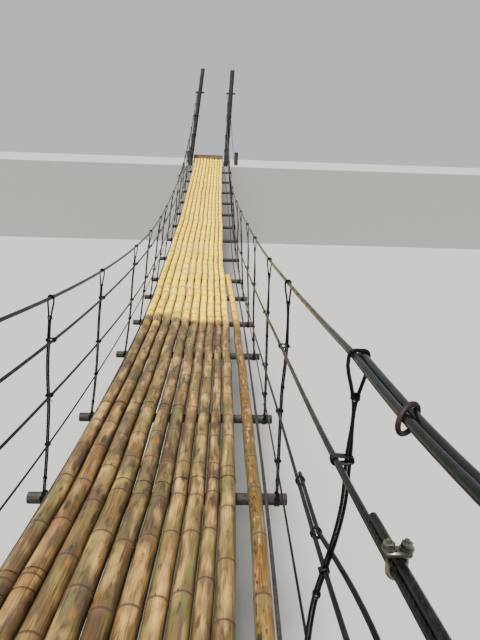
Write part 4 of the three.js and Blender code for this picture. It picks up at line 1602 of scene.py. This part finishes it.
def add_block(shell, low, high, bevel, seed):
    """A timber from one corner to the other with worn edges. Its long side is X."""
    count = max(2, round((high.x - low.x) / SECTION_STEP))
    centre, half = (low + high) / 2, (high - low) / 2
    first = len(shell.points)
    sections = [0.0] + [k / count for k in range(count + 1)] + [1.0]
    for i, t in enumerate(sections):
        end = i in (0, len(sections) - 1)
        x = low.x + (high.x - low.x) * t
        if i == 1:
            x += bevel
        elif i == len(sections) - 2:
            x -= bevel
        inset = bevel if end else 0.0
        for sy, sz in ((1, -1), (1, 1), (-1, 1), (-1, -1)):
            for corner in (0, 1):
                cut_y = bevel * (corner if sy * sz < 0 else 1 - corner)
                cut_z = bevel - cut_y
                wear = EDGE_WEAR * bevel * noise.noise(Vector((x * WEAR_WAVES, sy + seed, sz)))
                y = sy * (half.y - inset - cut_y + min(0, wear))
                z = sz * (half.z - inset - cut_z + min(0, wear))
                shell.vertex(Vector((x, centre.y + y, centre.z + z)), along=x,
                             ring=FAR_FROM_RING, seed=seed)
    for i in range(len(sections) - 1):
        row = first + i * 8
        for k in range(8):
            n = (k + 1) % 8
            shell.faces.append((row + n, row + 8 + n, row + 8 + k, row + k))
    last = first + (len(sections) - 1) * 8
    shell.faces.append(tuple(range(first + 7, first - 1, -1)))
    shell.faces.append(tuple(range(last, last + 8)))


trial = Shell()
add_block(trial, Vector((0, 0, 0)), Vector((1, 0.1, 0.1)), 0.01, 0)
print("a timber 1 m long has", len(trial.faces), "faces")

# %% The sills, the boards and the stakes
SILL_BEVEL = 0.008
STAKE_TOP_SHARE, STAKE_LUMPS = 0.95, 0.05
for name in sorted(n for n in nodes if n.startswith(("sill", "threshold"))):
    low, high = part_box(name)
    shell = Shell()
    add_block(shell, low, high, SILL_BEVEL, len(name))
    board = name.startswith("threshold")
    make_piece(name, shell, sawn_board if board else dark_log,
               [name])
for name in sorted(n for n in nodes if n.startswith("anchor_stake")):
    foot, head, stake_radius = post_axis(name)
    shell = Shell()
    add_log(shell, foot, head, stake_radius * POST_SHARE, stake_radius * STAKE_TOP_SHARE,
            len(name), STAKE_LUMPS, POST_SIDES)
    make_piece(name, shell, grey_post, [name])
print("pieces:", len(piece_sizes), "with", sum(piece_sizes.values()), "vertices")

# %% [markdown]
# ## Light and ground
#
# A plain pale ground lies under the bridge and steps up at both banks, because the posts stand
# at the height of the deck's ends and the deck hangs below them. It is matt, like paper, so
# that nothing is mirrored in it. The light is a broad sun high up, a little from the left and
# from behind the camera, and a pale sky that fills the shadows. Area lamps would do for a small
# thing, but a bridge of 26 m needs light that is as strong at its far end. The sun is broad
# because a small one would draw a hard shadow of every cable over the poles.

# %% The studio
GROUND_BELOW = -2.6            # metres, under the deck's lowest point
GROUND_REACH = 60.0
BANK_EDGE = 0.12               # metres along the bridge where the near bank ends
BEFORE_SILL = 0.02             # metres before the far sill where the far bank starts
GROUND_CLEAR = 0.001           # metres that keep the ground out of the plane of the sills' feet
GROUND_COLOUR, GROUND_ROUGHNESS = "#9a9893", 0.9
SKY_COLOUR, SKY_STRENGTH = "#e9eef2", 0.75
SUN_FROM = (-0.22, -0.3, 1.0)
SUN_ENERGY, SUN_ANGLE = 10.0, math.radians(22)
far_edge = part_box("sill_far")[0].y - BEFORE_SILL
profile = [(-GROUND_REACH, 0.0), (BANK_EDGE, 0.0), (BANK_EDGE, GROUND_BELOW),
           (far_edge, GROUND_BELOW), (far_edge, 0.0), (GROUND_REACH + far_edge, 0.0)]
ground_points = [(x, y, z - GROUND_CLEAR) for y, z in profile
                 for x in (-GROUND_REACH, GROUND_REACH)]
ground_faces = [(i, i + 1, i + 3, i + 2) for i in range(0, 2 * len(profile) - 2, 2)]
ground_mesh = bpy.data.meshes.new("ground")
ground_mesh.from_pydata(ground_points, [], ground_faces)
ground = bpy.data.objects.new("ground", ground_mesh)
bpy.context.scene.collection.objects.link(ground)
paper = bpy.data.materials.new("pale paper ground")
paper.use_nodes = True
paper_shader = paper.node_tree.nodes["Principled BSDF"]
paper_shader.inputs["Base Color"].default_value = linear(GROUND_COLOUR)
paper_shader.inputs["Roughness"].default_value = GROUND_ROUGHNESS
ground_mesh.materials.append(paper)

world = bpy.data.worlds.new("studio")
world.use_nodes = True
sky = world.node_tree.nodes["Background"]
sky.inputs["Color"].default_value = linear(SKY_COLOUR)
sky.inputs["Strength"].default_value = SKY_STRENGTH
bpy.context.scene.world = world

key = bpy.data.lights.new("key", "SUN")
key.energy = SUN_ENERGY
key.angle = SUN_ANGLE
key_lamp = bpy.data.objects.new("key", key)
key_lamp.matrix_world = Vector(SUN_FROM).to_track_quat("Z", "Y").to_matrix().to_4x4()
bpy.context.scene.collection.objects.link(key_lamp)
print("the sun stands", round(math.degrees(math.asin(SUN_FROM[2] / Vector(SUN_FROM).length))),
      "degrees high")
